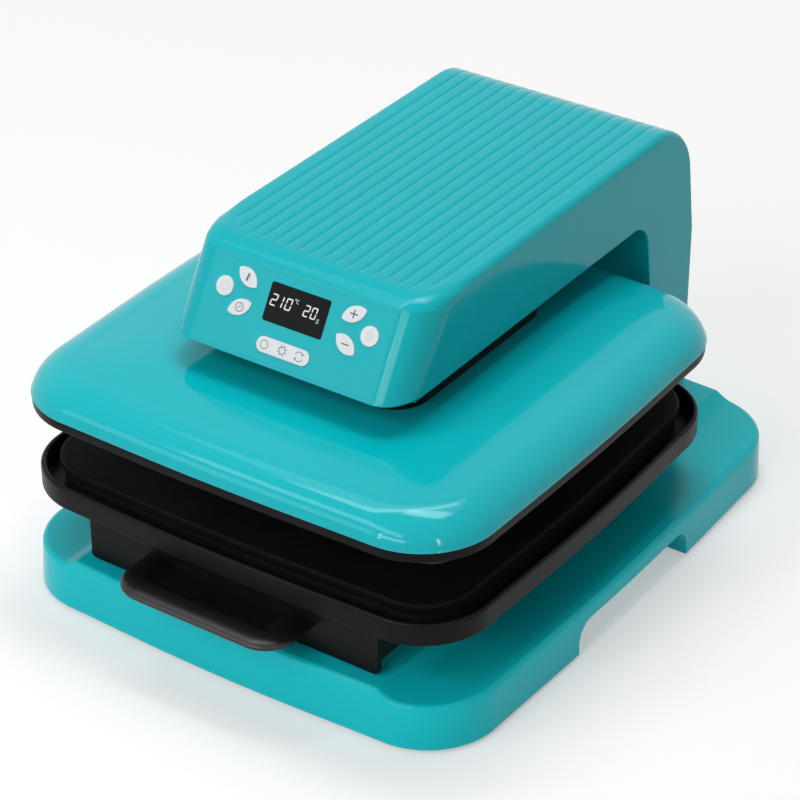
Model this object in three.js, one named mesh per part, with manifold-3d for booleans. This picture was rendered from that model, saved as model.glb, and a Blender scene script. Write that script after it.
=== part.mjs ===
// Automatic heat press: a drawer carries the work pad under a heated platen that a motor lowers.
// Millimetres, +Z up. X is across, the drawer opens towards -Y, the column stands at +Y.

import * as THREE from 'three';
import { mergeVertices } from 'three/addons/utils/BufferGeometryUtils.js';
import Module from 'manifold-3d';

const wasm = await Module();
wasm.setup();

// Clearances
const seatGap = 0.3;
const runGap = 0.5;
const slotGap = 0.6;

// Moulded walls
const wall = 3;

// Plan: the cover's front edge stands a little ahead of the base's, the column behind the cover
const cover = { halfWidth: 209, halfDepth: 210.4, corner: 62.9, bow: 2.4 };
const coverLead = 3.3;
const columnCoverGap = 31.5;
const columnDepth = 70;
const columnOverhang = 2.6;
const behindCover = cover.bow + columnCoverGap + columnDepth - columnOverhang;

// Base: a bowed rounded square whose middle stands higher than its side decks
const base = {
  halfWidth: 212.6,
  halfDepth: cover.halfDepth + (behindCover - coverLead) / 2,
  corner: 63.4,
  bow: 4.6,
};
const pressCentreY = cover.halfDepth - base.halfDepth - coverLead;
const deckTop = 39.3;
const plateauTop = 45.5;
const plateauHalf = 148.5;
const stepRun = 5;
const baseDraft = 1.5;
const baseEdge = 4.5;
const baseFootRound = 1.2;
const notchHalf = 83.5;
const notchHeight = 26.5;
const notchCorner = 17.5;
const notchDepth = 28;
const bottomPlateThick = 2.5;

// Rubber feet
const footHeight = 3;
const footRadius = 14;
const footInset = 64;

// Drawer tray with the work pad
const tray = { halfWidth: 205.9, halfDepth: 205.2, corner: 59.7, bow: 3.7 };
const trayBottom = 92.8;
const trayHeight = 20.3;
const trayWall = 5;
const trayFloor = 4.5;
const trayLip = 2;
const padInset = 15.4;
const padThick = 8.8;
const padBoardThick = 13;
const padEdge = 2.5;

// Drawer body, front plate and handle
const boxHalf = 137;
const boxSetback = 12.9;
const boxHeight = 34.5;
const frontPlateMargin = 0.8;
const frontPlateThick = 5.3;
const frontPlateGap = 1.5;
const handleHalf = 80;
const handleReach = 51;
const handleTop = 76;
const handleHeight = 15;
const handleCorner = 27;
const handleLip = 12;
const handleEdge = 5.5;
const handleFloor = 5;
const drawerTravel = 260;

// Telescopic rails
const railWidth = 11.5;
const railHeight = 28;
const railSheet = 1.5;
const railTopGap = 1.5;
const railSetback = 11;
const railOverlap = 100;
const railFoot = 14;

// Platen: heating plate, bezel and domed cover
const coverBottom = 178.2;
const coverShoulderInset = 34;
const coverShoulderRise = 24;
const coverCrown = 4.8;
const coverCrownInset = 110;
const bezelHeight = 8.6;
const bezelInset = 0.7;
const bezelEdge = 1.5;
const bezelSide = 18.5;
const bezelEnd = 19.9;
const plateCorner = 24;
const plateThick = 10;
const plateProud = 8;
const elementRadius = 3.25;
const elementRuns = 4;
const elementMargin = 40;
const sensorRadius = 4;
const sensorOffset = 30;
const fuseLength = 18;
const fuseWidth = 8;
const fuseOffset = 46;
const insulationThick = 8;
const platenFrameThick = 3;
const stackInset = 6;

// Lift neck between cover and arm
const neckSideGap = 14.8;
const neckAhead = 93.7;
const neckBehind = 112.3;
const neckCorner = 30;
const neckWall = 2.5;
const neckBeamGap = 3.7;
const neckPanelClear = 16.5;

// Arm and column
const armHalf = 109.3;
const armTop = 301.5;
const armUnder = 230.4;
const armTopEdge = 9;
const panelFootY = -177.1;
const panelAngle = THREE.MathUtils.degToRad(59.1);
const panelTopRadius = 14;
const panelFootRadius = 1.5;
const cornerAcross = 25.3;
const cornerAlong = 34;
const columnFrontKneeZ = 165;
const columnBackKneeZ = 191;
const columnLean = 0.145;
const throatRadius = 24;
const crownRadius = 54;
const backKneeRadius = 60;
const columnBackEdge = 3;
const ribPitch = 11.5;
const ribWidth = 3;
const ribDepth = 0.8;
const ribFrontSetback = 20;
const ribBackSetback = 50;

// Control panel
const fasciaMargin = 0.8;
const fasciaLow = 3.5;
const fasciaHigh = 71.5;
const fasciaCorner = 4;
const windowHalf = 27.3;
const windowLow = 33.7;
const windowHigh = 64;
const windowCorner = 1.8;
const moduleMargin = 3;
const moduleDepth = 4;
const boardThick = 1.6;
const boardMargin = 7;
const boardSocket = { x: -62, s: 4, width: 28, height: 20, depth: 3.5 };
const boardChip = { x: -8, s: 30, width: 16, height: 16, depth: 2 };
const boardBuzzer = { x: 36, s: 6, width: 24, height: 14, depth: 3.5 };
const keyProud = 0.8;
const keyTravel = 0.8;
const keyFlange = 1.5;
const keySwitchSide = 6;
const keySwitchHeight = 1.9;
const roundKey = { x: 67, s: 48.7, radius: 7.8 };
const leafKey = { x: 49, high: 60.5, low: 36.9, length: 22.3, width: 12.4, tilt: 30 };
const modeKey = { x: -1.2, s: 16.5, length: 48.6, height: 12.3 };

// Steel frame and lift drive
const frameHalf = 80;
const frameSheet = 4;
const frameFlange = 8;
const frameFlangeSheet = 3;
const frameHoleMargin = 8;
const uprightSetback = 36;
const uprightFlange = 14;
const beamRoom = 14.5;
const beamFrontY = -122;
const frameBaseHalf = 100;
const frameBaseFrontY = -200;
const screwRadius = 6;
const screwFloorGap = 4;
const bearingRadius = 11;
const bearingFlange = 14;
const bearingFlangeThick = 1.5;
const rodRadius = 6;
const rodX = 45;
const bushWall = 3;
const bushLength = 22;
const bushFlange = 12;
const bushFlangeThick = 2;
const nutRadius = 12.5;
const nutFlange = 18;
const nutFlangeThick = 4;
const nutHeight = 18;
const carriageHalf = 75;
const carriageSheet = 3;
const carriageBridge = 4;
const carriageHalfDepth = 42;
const nutBeamGap = 5.7;
const motorNeckGap = 28;
const motorRadius = 22;
const motorLength = 43;
const motorShaftRadius = 3;
const motorShaftDepth = 16;
const motorPulleyRadius = 10;
const screwPulleyRadius = 20;
const pulleyHeight = 8;
const beltWidth = 6;
const beltThick = 1.8;
const limitSwitchX = 66;
const limitSwitchSetback = 4;
const limitSwitchLength = 20;
const limitSwitchWidth = 7;
const limitPlunger = 3;

// Power board
const postHeight = 4;
const postWidth = 6;
const powerBoardWidth = 112;
const powerBoardHeight = 74;
const powerTransformer = { x: -40, z: 14, width: 28, height: 28, depth: 14 };
const powerRelay = { x: 4, z: 12, width: 20, height: 16, depth: 12 };
const powerCapacitors = { x: 4, z: 40, width: 40, height: 20, depth: 9 };

// Mains inlet and rocker switch on the rear cover
const rearCoverHalf = 92;
const rearCoverLow = 60;
const rearCoverHigh = 178;
const mainsZ = 86;
const inletX = -30;
const inletWidth = 27;
const inletHeight = 19.6;
const inletDepth = 20;
const inletFlange = 3.5;
const inletFlangeThick = 1.6;
const inletWall = 1.6;
const inletPinLength = 9;
const switchX = 30;
const switchWidth = 17;
const switchHeight = 25;
const switchDepth = 18;
const rockerWidth = 12;
const rockerHeight = 19;
const rockerTilt = 9;
const rockerDepth = 8;
const rockerRise = 1.6;
const rockerSink = 4.8;
const rockerEndGap = 1.2;
const rockerRootShare = 0.45;

const steel = { color: 0x8f9498, roughness: 0.4, metalness: 0.9 };
const zinc = { color: 0xb4b8ba, roughness: 0.35, metalness: 0.9 };
const tealGloss = { color: 0x22b3bd, roughness: 0.18, metalness: 0 };
const blackSatin = { color: 0x17181a, roughness: 0.45, metalness: 0 };
const blackRubber = { color: 0x101112, roughness: 0.85, metalness: 0 };
const padBlack = { color: 0x1b1c1e, roughness: 0.7, metalness: 0 };
const keyWhite = { color: 0xe9eceb, roughness: 0.4, metalness: 0 };
const boardGreen = { color: 0x1f5b3a, roughness: 0.6, metalness: 0 };
const mica = { color: 0xd9d3c0, roughness: 0.9, metalness: 0 };
const brass = { color: 0xb8924a, roughness: 0.35, metalness: 0.9 };
const darkMetal = { color: 0x3a3d40, roughness: 0.4, metalness: 0.7 };
const fibreBoard = { color: 0x6b5a45, roughness: 0.9, metalness: 0 };
const blackGlass = { color: 0x0c0d0e, roughness: 0.1, metalness: 0 };

// Solids from closed geometries, and back again
function solidFrom(geometry) {
  const bare = geometry.clone();
  bare.deleteAttribute('normal');
  bare.deleteAttribute('uv');
  const merged = mergeVertices(bare, 1e-4);
  const mesh = new wasm.Mesh({
    numProp: 3,
    vertProperties: new Float32Array(merged.attributes.position.array),
    triVerts: new Uint32Array(merged.index.array),
  });
  return new wasm.Manifold(mesh);
}

function geometryFrom(solid) {
  const mesh = solid.getMesh();
  const geometry = new THREE.BufferGeometry();
  geometry.setAttribute('position', new THREE.BufferAttribute(new Float32Array(mesh.vertProperties), 3));
  geometry.setIndex(new THREE.BufferAttribute(new Uint32Array(mesh.triVerts), 1));
  geometry.computeVertexNormals();
  return geometry;
}

function join(...solids) {
  return solids.reduce((sum, solid) => sum.add(solid));
}

function cut(solid, ...tools) {
  return tools.reduce((rest, tool) => rest.subtract(tool), solid);
}

function common(...solids) {
  return solids.reduce((rest, solid) => rest.intersect(solid));
}

// A box between two corners
function block(x0, x1, y0, y1, z0, z1) {
  const geometry = new THREE.BoxGeometry(x1 - x0, y1 - y0, z1 - z0);
  geometry.translate((x0 + x1) / 2, (y0 + y1) / 2, (z0 + z1) / 2);
  return solidFrom(geometry);
}

// A polygon with rounded corners: each corner is [x, y, radius]
function roundedPath(corners, degreesPerStep = 15) {
  const points = [];
  corners.forEach(([x, y, radius], i) => {
    const here = new THREE.Vector2(x, y);
    const before = new THREE.Vector2(...corners[(i + corners.length - 1) % corners.length]);
    const after = new THREE.Vector2(...corners[(i + 1) % corners.length]);
    if (!radius) {
      points.push(here);
      return;
    }
    const inward = here.clone().sub(before).normalize();
    const outward = after.clone().sub(here).normalize();
    const turn = Math.atan2(inward.cross(outward), inward.dot(outward));
    const reach = radius * Math.tan(Math.abs(turn) / 2);
    const start = here.clone().addScaledVector(inward, -reach);
    const side = Math.sign(turn);
    const centre = start.clone().add(new THREE.Vector2(-inward.y, inward.x).multiplyScalar(side * radius));
    const steps = Math.max(2, Math.ceil(Math.abs(THREE.MathUtils.radToDeg(turn)) / degreesPerStep));
    for (let k = 0; k <= steps; k += 1) {
      points.push(start.clone().rotateAround(centre, (turn * k) / steps));
    }
  });
  return points;
}

function rectangle(x0, x1, y0, y1, radius = 0) {
  return roundedPath([[x0, y0, radius], [x1, y0, radius], [x1, y1, radius], [x0, y1, radius]]);
}

function circle(x, y, radius, steps = 24) {
  const points = [];
  for (let k = 0; k < steps; k += 1) {
    const angle = (2 * Math.PI * k) / steps;
    points.push(new THREE.Vector2(x + radius * Math.cos(angle), y + radius * Math.sin(angle)));
  }
  return points;
}

// Extrusions along the three axes
function prismZ(points, z0, z1, holes = []) {
  const shape = new THREE.Shape(points);
  holes.forEach((hole) => shape.holes.push(new THREE.Path(hole)));
  const geometry = new THREE.ExtrudeGeometry(shape, { depth: z1 - z0, bevelEnabled: false });
  geometry.translate(0, 0, z0);
  return solidFrom(geometry);
}

function prismX(pointsYZ, x0, x1) {
  const shape = new THREE.Shape(pointsYZ);
  const geometry = new THREE.ExtrudeGeometry(shape, { depth: x1 - x0, bevelEnabled: false });
  const toWorld = new THREE.Matrix4().makeBasis(
    new THREE.Vector3(0, 1, 0),
    new THREE.Vector3(0, 0, 1),
    new THREE.Vector3(1, 0, 0),
  );
  geometry.applyMatrix4(toWorld);
  geometry.translate(x0, 0, 0);
  return solidFrom(geometry);
}

function prismY(pointsXZ, y0, y1) {
  const shape = new THREE.Shape(pointsXZ);
  const geometry = new THREE.ExtrudeGeometry(shape, { depth: y1 - y0, bevelEnabled: false });
  const toWorld = new THREE.Matrix4().makeBasis(
    new THREE.Vector3(1, 0, 0),
    new THREE.Vector3(0, 0, 1),
    new THREE.Vector3(0, -1, 0),
  );
  geometry.applyMatrix4(toWorld);
  geometry.translate(0, y1, 0);
  return solidFrom(geometry);
}

// A turned solid about a vertical axis: each profile point is [radius, z]
function turned(x, y, profile, steps = 24) {
  const points = profile.map(([radius, z]) => new THREE.Vector2(radius, z));
  const geometry = new THREE.LatheGeometry([...points, points[0].clone()], steps);
  geometry.rotateX(Math.PI / 2);
  geometry.translate(x, y, 0);
  return solidFrom(geometry);
}

function rod(x, y, radius, z0, z1, steps = 24) {
  return prismZ(circle(x, y, radius, steps), z0, z1);
}

// A rounded square whose sides bow outwards, drawn in by an inset
function bowed(size, inset = 0, centreY = 0, leastCorner = 1) {
  const halfWidth = size.halfWidth - inset;
  const halfDepth = size.halfDepth - inset;
  const corner = Math.max(size.corner - inset, leastCorner);
  const sideSteps = 4;
  const cornerSteps = 6;
  const points = [];
  for (let quarter = 0; quarter < 4; quarter += 1) {
    const across = quarter % 2 === 0;
    const reach = (across ? halfDepth : halfWidth);
    const half = (across ? halfWidth : halfDepth) - corner;
    const turnBy = (quarter * Math.PI) / 2;
    for (let k = 0; k < sideSteps; k += 1) {
      const t = -1 + (2 * k) / sideSteps;
      const side = new THREE.Vector2(t * half, -reach - size.bow * (1 - t * t));
      points.push(side.rotateAround(new THREE.Vector2(), turnBy));
    }
    for (let k = 0; k < cornerSteps; k += 1) {
      const angle = -Math.PI / 2 + (k * Math.PI) / 2 / cornerSteps;
      const x = half + corner * Math.cos(angle);
      const y = corner - reach + corner * Math.sin(angle);
      points.push(new THREE.Vector2(x, y).rotateAround(new THREE.Vector2(), turnBy));
    }
  }
  return points.map((point) => new THREE.Vector2(point.x, point.y + centreY));
}

// A skin through rings of equally many points, closed at both ends: each ring is [points, z]
function loft(rings) {
  const count = rings[0][0].length;
  const positions = [];
  rings.forEach(([points, z]) => points.forEach((point) => positions.push(point.x, point.y, z)));
  const faces = [];
  for (let ring = 0; ring + 1 < rings.length; ring += 1) {
    for (let k = 0; k < count; k += 1) {
      const a = ring * count + k;
      const b = ring * count + ((k + 1) % count);
      faces.push(a, b, b + count, a, b + count, a + count);
    }
  }
  const last = (rings.length - 1) * count;
  THREE.ShapeUtils.triangulateShape(rings[0][0], []).forEach(([a, b, c]) => faces.push(a, c, b));
  THREE.ShapeUtils.triangulateShape(rings[rings.length - 1][0], []).forEach(([a, b, c]) => {
    faces.push(last + a, last + b, last + c);
  });
  const geometry = new THREE.BufferGeometry();
  geometry.setAttribute('position', new THREE.Float32BufferAttribute(positions, 3));
  geometry.setIndex(faces);
  return solidFrom(geometry);
}

// A polygon with each edge moved inwards by its own distance; corners are [x, y, radius]
function drawnIn(corners, distances) {
  const count = corners.length;
  const lines = corners.map(([x, y], i) => {
    const next = corners[(i + 1) % count];
    const along = new THREE.Vector2(next[0] - x, next[1] - y).normalize();
    const inwards = new THREE.Vector2(-along.y, along.x);
    const start = new THREE.Vector2(x, y).addScaledVector(inwards, distances[i]);
    return { start, along };
  });
  return corners.map(([, , radius], i) => {
    const before = lines[(i + count - 1) % count];
    const after = lines[i];
    const bend = before.along.cross(after.along);
    const between = after.start.clone().sub(before.start);
    const corner = before.start.clone().addScaledVector(before.along, between.cross(after.along) / bend);
    const kept = radius ? Math.max(radius - Math.sign(bend) * distances[i], 0.5) : 0;
    return [corner.x, corner.y, kept];
  });
}

// The right-hand solid, or its mirror image on the left
function mirrored(solid, side) {
  return side > 0 ? solid : solid.mirror([1, 0, 0]);
}

const press = new THREE.Group();

function place(name, shape, look, parent = press) {
  const geometry = shape instanceof THREE.BufferGeometry ? shape : geometryFrom(shape);
  const mesh = new THREE.Mesh(geometry, new THREE.MeshStandardMaterial(look));
  mesh.name = name;
  parent.add(mesh);
  return mesh;
}

const sides = [[-1, 'left'], [1, 'right']];

// Places that several pieces share
const columnBackY = base.halfDepth + columnOverhang;
const columnFrontY = columnBackY - columnDepth;
const uprightFrontY = columnBackY - uprightSetback;
const uprightBackY = uprightFrontY + frameSheet;
const beamTop = armTop - wall - beamRoom;
const beamBottom = beamTop - frameSheet;
const carriageTop = beamBottom - nutBeamGap - nutHeight - seatGap;
const neckHalf = armHalf - neckSideGap;
const neckFrontY = pressCentreY - neckAhead;
const neckBackY = pressCentreY + neckBehind;
const motorY = neckBackY + motorNeckGap + motorRadius;

// Base
const baseSideX = base.halfWidth + base.bow;

function plinth(top, roundTop = true) {
  const rings = [
    [bowed(base, baseFootRound), 0],
    [bowed(base), baseFootRound],
  ];
  if (!roundTop) {
    rings.push([bowed(base, baseDraft), top]);
    return loft(rings);
  }
  for (let k = 0; k <= 3; k += 1) {
    const angle = (k * Math.PI) / 6;
    const inset = baseDraft + baseEdge * (1 - Math.cos(angle));
    rings.push([bowed(base, inset), top - baseEdge + baseEdge * Math.sin(angle)]);
  }
  return loft(rings);
}

function notchProfile(grow) {
  const half = notchHalf + grow;
  const top = notchHeight + grow;
  return roundedPath([
    [-half, -1, 0],
    [half, -1, 0],
    [half, top, notchCorner],
    [-half, top, notchCorner],
  ]);
}

function notchBlock(side, grow) {
  const inner = baseSideX - notchDepth - grow;
  const outer = baseSideX + wall;
  return mirrored(prismX(notchProfile(grow), inner, outer), side);
}

function baseShell() {
  const stepHigh = plateauHalf - stepRun / 2;
  const stepLow = plateauHalf + stepRun / 2;
  const ridge = prismY(
    [
      new THREE.Vector2(-stepLow, 0),
      new THREE.Vector2(stepLow, 0),
      new THREE.Vector2(stepLow, deckTop),
      new THREE.Vector2(stepHigh, plateauTop),
      new THREE.Vector2(-stepHigh, plateauTop),
      new THREE.Vector2(-stepLow, deckTop),
    ],
    -baseSideX * 2,
    baseSideX * 2,
  );
  const columnSeat = common(
    plinth(plateauTop, false),
    block(-armHalf, armHalf, columnFrontY, columnBackY + base.bow, 0, plateauTop),
  );
  const outer = join(plinth(deckTop), common(plinth(plateauTop), ridge), columnSeat);
  const deckRoom = loft([[bowed(base, wall), -1], [bowed(base, wall + baseDraft), deckTop - wall]]);
  const ridgeRoom = common(
    loft([[bowed(base, wall), -1], [bowed(base, wall + baseDraft + baseEdge), plateauTop - wall]]),
    block(wall - stepHigh, stepHigh - wall, -base.halfDepth * 2, base.halfDepth * 2, -1, plateauTop - wall),
  );
  const room = cut(join(deckRoom, ridgeRoom), notchBlock(-1, wall), notchBlock(1, wall));
  const frameHole = block(
    -frameHalf - frameHoleMargin,
    frameHalf + frameHoleMargin,
    uprightFrontY - uprightFlange - wall,
    columnBackY - 2 * wall - baseEdge,
    plateauTop - 2 * wall,
    plateauTop + wall,
  );
  return cut(outer, room, notchBlock(-1, 0), notchBlock(1, 0), frameHole);
}

place('base_shell', baseShell(), tealGloss);

const plateInset = wall + 2 * seatGap;
const bottomPlateTop = seatGap + bottomPlateThick;
place(
  'base_bottom_plate',
  cut(
    prismZ(bowed(base, plateInset), seatGap, bottomPlateTop),
    notchBlock(-1, wall + seatGap),
    notchBlock(1, wall + seatGap),
  ),
  blackSatin,
);

[[-1, 'front'], [1, 'rear']].forEach(([end, endName]) => {
  sides.forEach(([side, sideName]) => {
    const x = side * (base.halfWidth - footInset);
    const y = end * (base.halfDepth - footInset);
    place(`foot_${endName}_${sideName}`, rod(x, y, footRadius, -footHeight, 0), blackRubber);
  });
});

// Steel frame: base plate, upright in the column and beam in the arm
function steelFrame() {
  const frameFloor = bottomPlateTop + seatGap;
  const frameFloorTop = frameFloor + frameSheet;
  const flangeIn = frameHalf - frameFlangeSheet;
  const flangeBackY = uprightFrontY - uprightFlange / 2;
  const parts = [
    block(-frameBaseHalf, frameBaseHalf, frameBaseFrontY, uprightBackY, frameFloor, frameFloorTop),
    block(-frameHalf, frameHalf, uprightFrontY, uprightBackY, frameFloor, beamTop),
    block(-frameHalf, frameHalf, beamFrontY, uprightBackY, beamBottom, beamTop),
  ];
  sides.forEach(([side]) => {
    const x0 = side > 0 ? flangeIn : -frameHalf;
    const x1 = x0 + frameFlangeSheet;
    parts.push(block(x0, x1, uprightFrontY - uprightFlange, uprightBackY, frameFloor, beamTop));
    parts.push(block(x0, x1, beamFrontY, flangeBackY, beamBottom, beamTop + frameFlange));
  });
  const bearingHole = rod(0, pressCentreY, bearingRadius + seatGap, beamBottom - 1, beamTop + 1);
  const shaftHole = rod(0, motorY, motorShaftRadius + slotGap, beamBottom - 1, beamTop + 1);
  return cut(join(...parts), bearingHole, shaftHole);
}

place('steel_frame', steelFrame(), steel);

// Arm and column housing
const panelRun = Math.cos(panelAngle) / Math.sin(panelAngle);
const sideCorners = [
  [columnFrontY, plateauTop + seatGap, 0],
  [columnBackY, plateauTop + seatGap, 0],
  [columnBackY, columnBackKneeZ, backKneeRadius],
  [columnBackY - columnLean * (armTop - columnBackKneeZ), armTop, crownRadius],
  [panelFootY + panelRun * (armTop - armUnder), armTop, panelTopRadius],
  [panelFootY, armUnder, panelFootRadius],
  [columnFrontY - columnLean * (armUnder - columnFrontKneeZ), armUnder, throatRadius],
  [columnFrontY, columnFrontKneeZ, 0],
];

// The three outlines of the housing, all drawn in by the same distance, with an open foot
function housingBody(inset) {
  const footInset = inset ? -2 * wall : 0;
  const distances = [footInset, inset, inset, inset, inset, inset, inset, inset];
  const half = armHalf - inset;
  const sideView = prismX(roundedPath(drawnIn(sideCorners, distances), 11), -half, half);
  const topEdge = armTopEdge - inset;
  const frontView = prismY(
    roundedPath([
      [-half, -wall, 0],
      [half, -wall, 0],
      [half, armTop - inset, topEdge],
      [-half, armTop - inset, topEdge],
    ]),
    -base.halfDepth * 2,
    base.halfDepth * 2,
  );
  const across = cornerAcross - inset;
  const along = cornerAlong - inset;
  const front = inset / Math.sin(panelAngle);
  const plan = [];
  const steps = 6;
  for (let k = 0; k <= steps; k += 1) {
    const angle = (k * Math.PI) / 2 / steps;
    const y = front + along * (1 - Math.sin(angle));
    plan.push(new THREE.Vector2(across * (1 - Math.cos(angle)) - half, y));
  }
  plan.slice().reverse().forEach((point) => plan.push(new THREE.Vector2(-point.x, point.y)));
  const farY = base.halfDepth * 3;
  plan.push(new THREE.Vector2(half, farY), new THREE.Vector2(-half, farY));
  const shifted = (z) => plan.map((point) => {
    const y = point.y + panelFootY + panelRun * (z - armUnder);
    return new THREE.Vector2(point.x, y);
  });
  const lowZ = armUnder - 2 * wall;
  const highZ = armTop + wall;
  const frontPart = loft([[shifted(lowZ), lowZ], [shifted(highZ), highZ]]);
  const lowerPart = block(-half, half, columnFrontY - armTop, farY, -wall, lowZ);
  const backEdge = Math.max(columnBackEdge - inset, 0);
  const back = columnBackY - inset;
  const backView = prismZ(
    roundedPath([[-half, -farY, 0], [half, -farY, 0], [half, back, backEdge], [-half, back, backEdge]]),
    -wall,
    armTop + wall,
  );
  return common(sideView, frontView, join(frontPart, lowerPart), backView);
}

function ribGrooves() {
  const front = panelFootY + panelRun * (armTop - armUnder) + ribFrontSetback;
  const back = columnBackY - columnLean * (armTop - columnBackKneeZ) - ribBackSetback;
  const ribsPerSide = Math.floor((armHalf - armTopEdge - ribWidth / 2) / ribPitch);
  const grooves = [];
  for (let k = -ribsPerSide; k <= ribsPerSide; k += 1) {
    const x = k * ribPitch;
    grooves.push(prismY(
      [
        new THREE.Vector2(x - ribWidth / 2, armTop + 0.1),
        new THREE.Vector2(x, armTop - ribDepth),
        new THREE.Vector2(x + ribWidth / 2, armTop + 0.1),
      ],
      front,
      back,
    ));
  }
  return grooves;
}

const undercoverHalf = armHalf - 2 * wall;
const undercoverFrontY = panelFootY + 3 * wall;
const fasciaHalf = armHalf - cornerAcross - fasciaMargin;
const undercoverBackY = motorY + motorRadius + 2 * wall;

function undercoverOutline(grow) {
  return rectangle(
    -undercoverHalf - grow,
    undercoverHalf + grow,
    undercoverFrontY - grow,
    undercoverBackY + grow,
    cornerAcross - wall + grow,
  );
}

// Panel frame: X across, Y up the slope, Z out of the panel
const panelGroup = new THREE.Group();
panelGroup.position.set(0, panelFootY, armUnder);
panelGroup.rotation.x = panelAngle;
press.add(panelGroup);
panelGroup.updateMatrix();

function onPanel(solid) {
  const geometry = geometryFrom(solid);
  geometry.applyMatrix4(panelGroup.matrix);
  return solidFrom(geometry);
}

function rearOutline(grow) {
  return rectangle(
    -rearCoverHalf - grow,
    rearCoverHalf + grow,
    rearCoverLow - grow,
    rearCoverHigh + grow,
    2 * wall + grow,
  );
}

function armHousing() {
  const body = cut(housingBody(0), housingBody(wall), ...ribGrooves());
  const neckHole = prismZ(undercoverOutline(seatGap), armUnder - wall, armUnder + 2 * wall);
  const fasciaHole = onPanel(prismZ(
    rectangle(
      -fasciaHalf - seatGap,
      fasciaHalf + seatGap,
      fasciaLow - seatGap,
      fasciaHigh + seatGap,
      fasciaCorner + seatGap,
    ),
    -2 * wall,
    wall,
  ));
  const rearHole = prismY(rearOutline(seatGap), columnBackY - 2 * wall, columnBackY + wall);
  return cut(body, neckHole, fasciaHole, rearHole);
}

place('arm_housing', armHousing(), tealGloss);

// Lift neck outline
function neckOutline(grow) {
  return rectangle(
    -neckHalf - grow,
    neckHalf + grow,
    neckFrontY - grow,
    neckBackY + grow,
    neckCorner + grow,
  );
}

place(
  'arm_undercover',
  prismZ(undercoverOutline(0), armUnder, armUnder + wall, [neckOutline(slotGap)]),
  blackSatin,
);

// A block centred on the mains row, measured out of the rear cover
function mainsBlock(x, halfWidth, halfHeight, out0, out1) {
  const y0 = columnBackY + out0;
  const y1 = columnBackY + out1;
  return block(x - halfWidth, x + halfWidth, y0, y1, mainsZ - halfHeight, mainsZ + halfHeight);
}

// Rear cover with its cut-outs for the inlet and the switch
place(
  'rear_cover',
  cut(
    prismY(rearOutline(0), columnBackY - wall, columnBackY),
    mainsBlock(inletX, inletWidth / 2 + seatGap, inletHeight / 2 + seatGap, -2 * wall, wall),
    mainsBlock(switchX, switchWidth / 2 + seatGap, switchHeight / 2 + seatGap, -2 * wall, wall),
  ),
  tealGloss,
);

function powerInlet() {
  const halfWidth = inletWidth / 2;
  const halfHeight = inletHeight / 2;
  const flangeOut = seatGap + inletFlangeThick;
  const body = join(
    mainsBlock(inletX, halfWidth, halfHeight, flangeOut - inletDepth, flangeOut),
    mainsBlock(inletX, halfWidth + inletFlange, halfHeight + inletFlange, seatGap, flangeOut),
  );
  const floorOut = flangeOut - inletDepth + inletWall;
  const socket = mainsBlock(inletX, halfWidth - inletWall, halfHeight - inletWall, floorOut, flangeOut + 1);
  const pins = [[-7, 2], [0, -2.5], [7, 2]].map(([dx, dz]) => block(
    inletX + dx - 1,
    inletX + dx + 1,
    columnBackY + floorOut - inletWall / 2,
    columnBackY + floorOut + inletPinLength,
    mainsZ + dz - 2,
    mainsZ + dz + 2,
  ));
  return join(cut(body, socket), ...pins);
}

place('power_inlet', powerInlet(), blackSatin);

const rockerPivotOut = seatGap + inletFlangeThick - rockerSink;

function switchHousing() {
  const halfWidth = switchWidth / 2;
  const halfHeight = switchHeight / 2;
  const flangeOut = seatGap + inletFlangeThick;
  const body = join(
    mainsBlock(switchX, halfWidth, halfHeight, flangeOut - switchDepth, flangeOut),
    mainsBlock(switchX, halfWidth + 2, halfHeight + 2, seatGap, flangeOut),
  );
  const well = mainsBlock(
    switchX,
    rockerWidth / 2 + runGap,
    rockerHeight / 2 + rockerEndGap,
    flangeOut - switchDepth + inletWall,
    flangeOut + 1,
  );
  return cut(body, well);
}

place('switch_housing', switchHousing(), blackSatin);

// The rocker tips about a pin along X; it rests tipped to its off side
function rocker() {
  const half = rockerHeight / 2;
  const dip = half * Math.tan(THREE.MathUtils.degToRad(rockerTilt));
  const profile = [
    new THREE.Vector2(-rockerDepth, -half * rockerRootShare),
    new THREE.Vector2(-rockerDepth, half * rockerRootShare),
    new THREE.Vector2(0, half),
    new THREE.Vector2(dip + rockerRise, half),
    new THREE.Vector2(rockerRise, 0),
    new THREE.Vector2(dip + rockerRise, -half),
    new THREE.Vector2(0, -half),
  ].reverse();
  return prismX(profile, -rockerWidth / 2, rockerWidth / 2);
}

const rockerMesh = place('power_rocker', rocker(), blackSatin);
rockerMesh.position.set(switchX, columnBackY + rockerPivotOut, mainsZ);
rockerMesh.rotation.x = THREE.MathUtils.degToRad(rockerTilt);

// Power board on the back of the upright, on four posts
function powerBoard() {
  const y0 = uprightBackY + seatGap;
  const boardY = y0 + postHeight;
  const rootY = boardY + boardThick / 2;
  const low = mainsZ + switchHeight;
  const high = low + powerBoardHeight;
  const half = powerBoardWidth / 2;
  const parts = [block(-half, half, boardY, boardY + boardThick, low, high)];
  sides.forEach(([side]) => {
    [low + postWidth, high - postWidth].forEach((z) => {
      const x = side * (half - postWidth);
      const reach = postWidth / 2;
      parts.push(block(x - reach, x + reach, y0, rootY, z - reach, z + reach));
    });
  });
  [powerTransformer, powerRelay, powerCapacitors].forEach(({ x, z, width, height, depth }) => {
    parts.push(block(x, x + width, rootY, boardY + depth, low + z, low + z + height));
  });
  return join(...parts);
}

place('power_board', powerBoard(), boardGreen);

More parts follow.
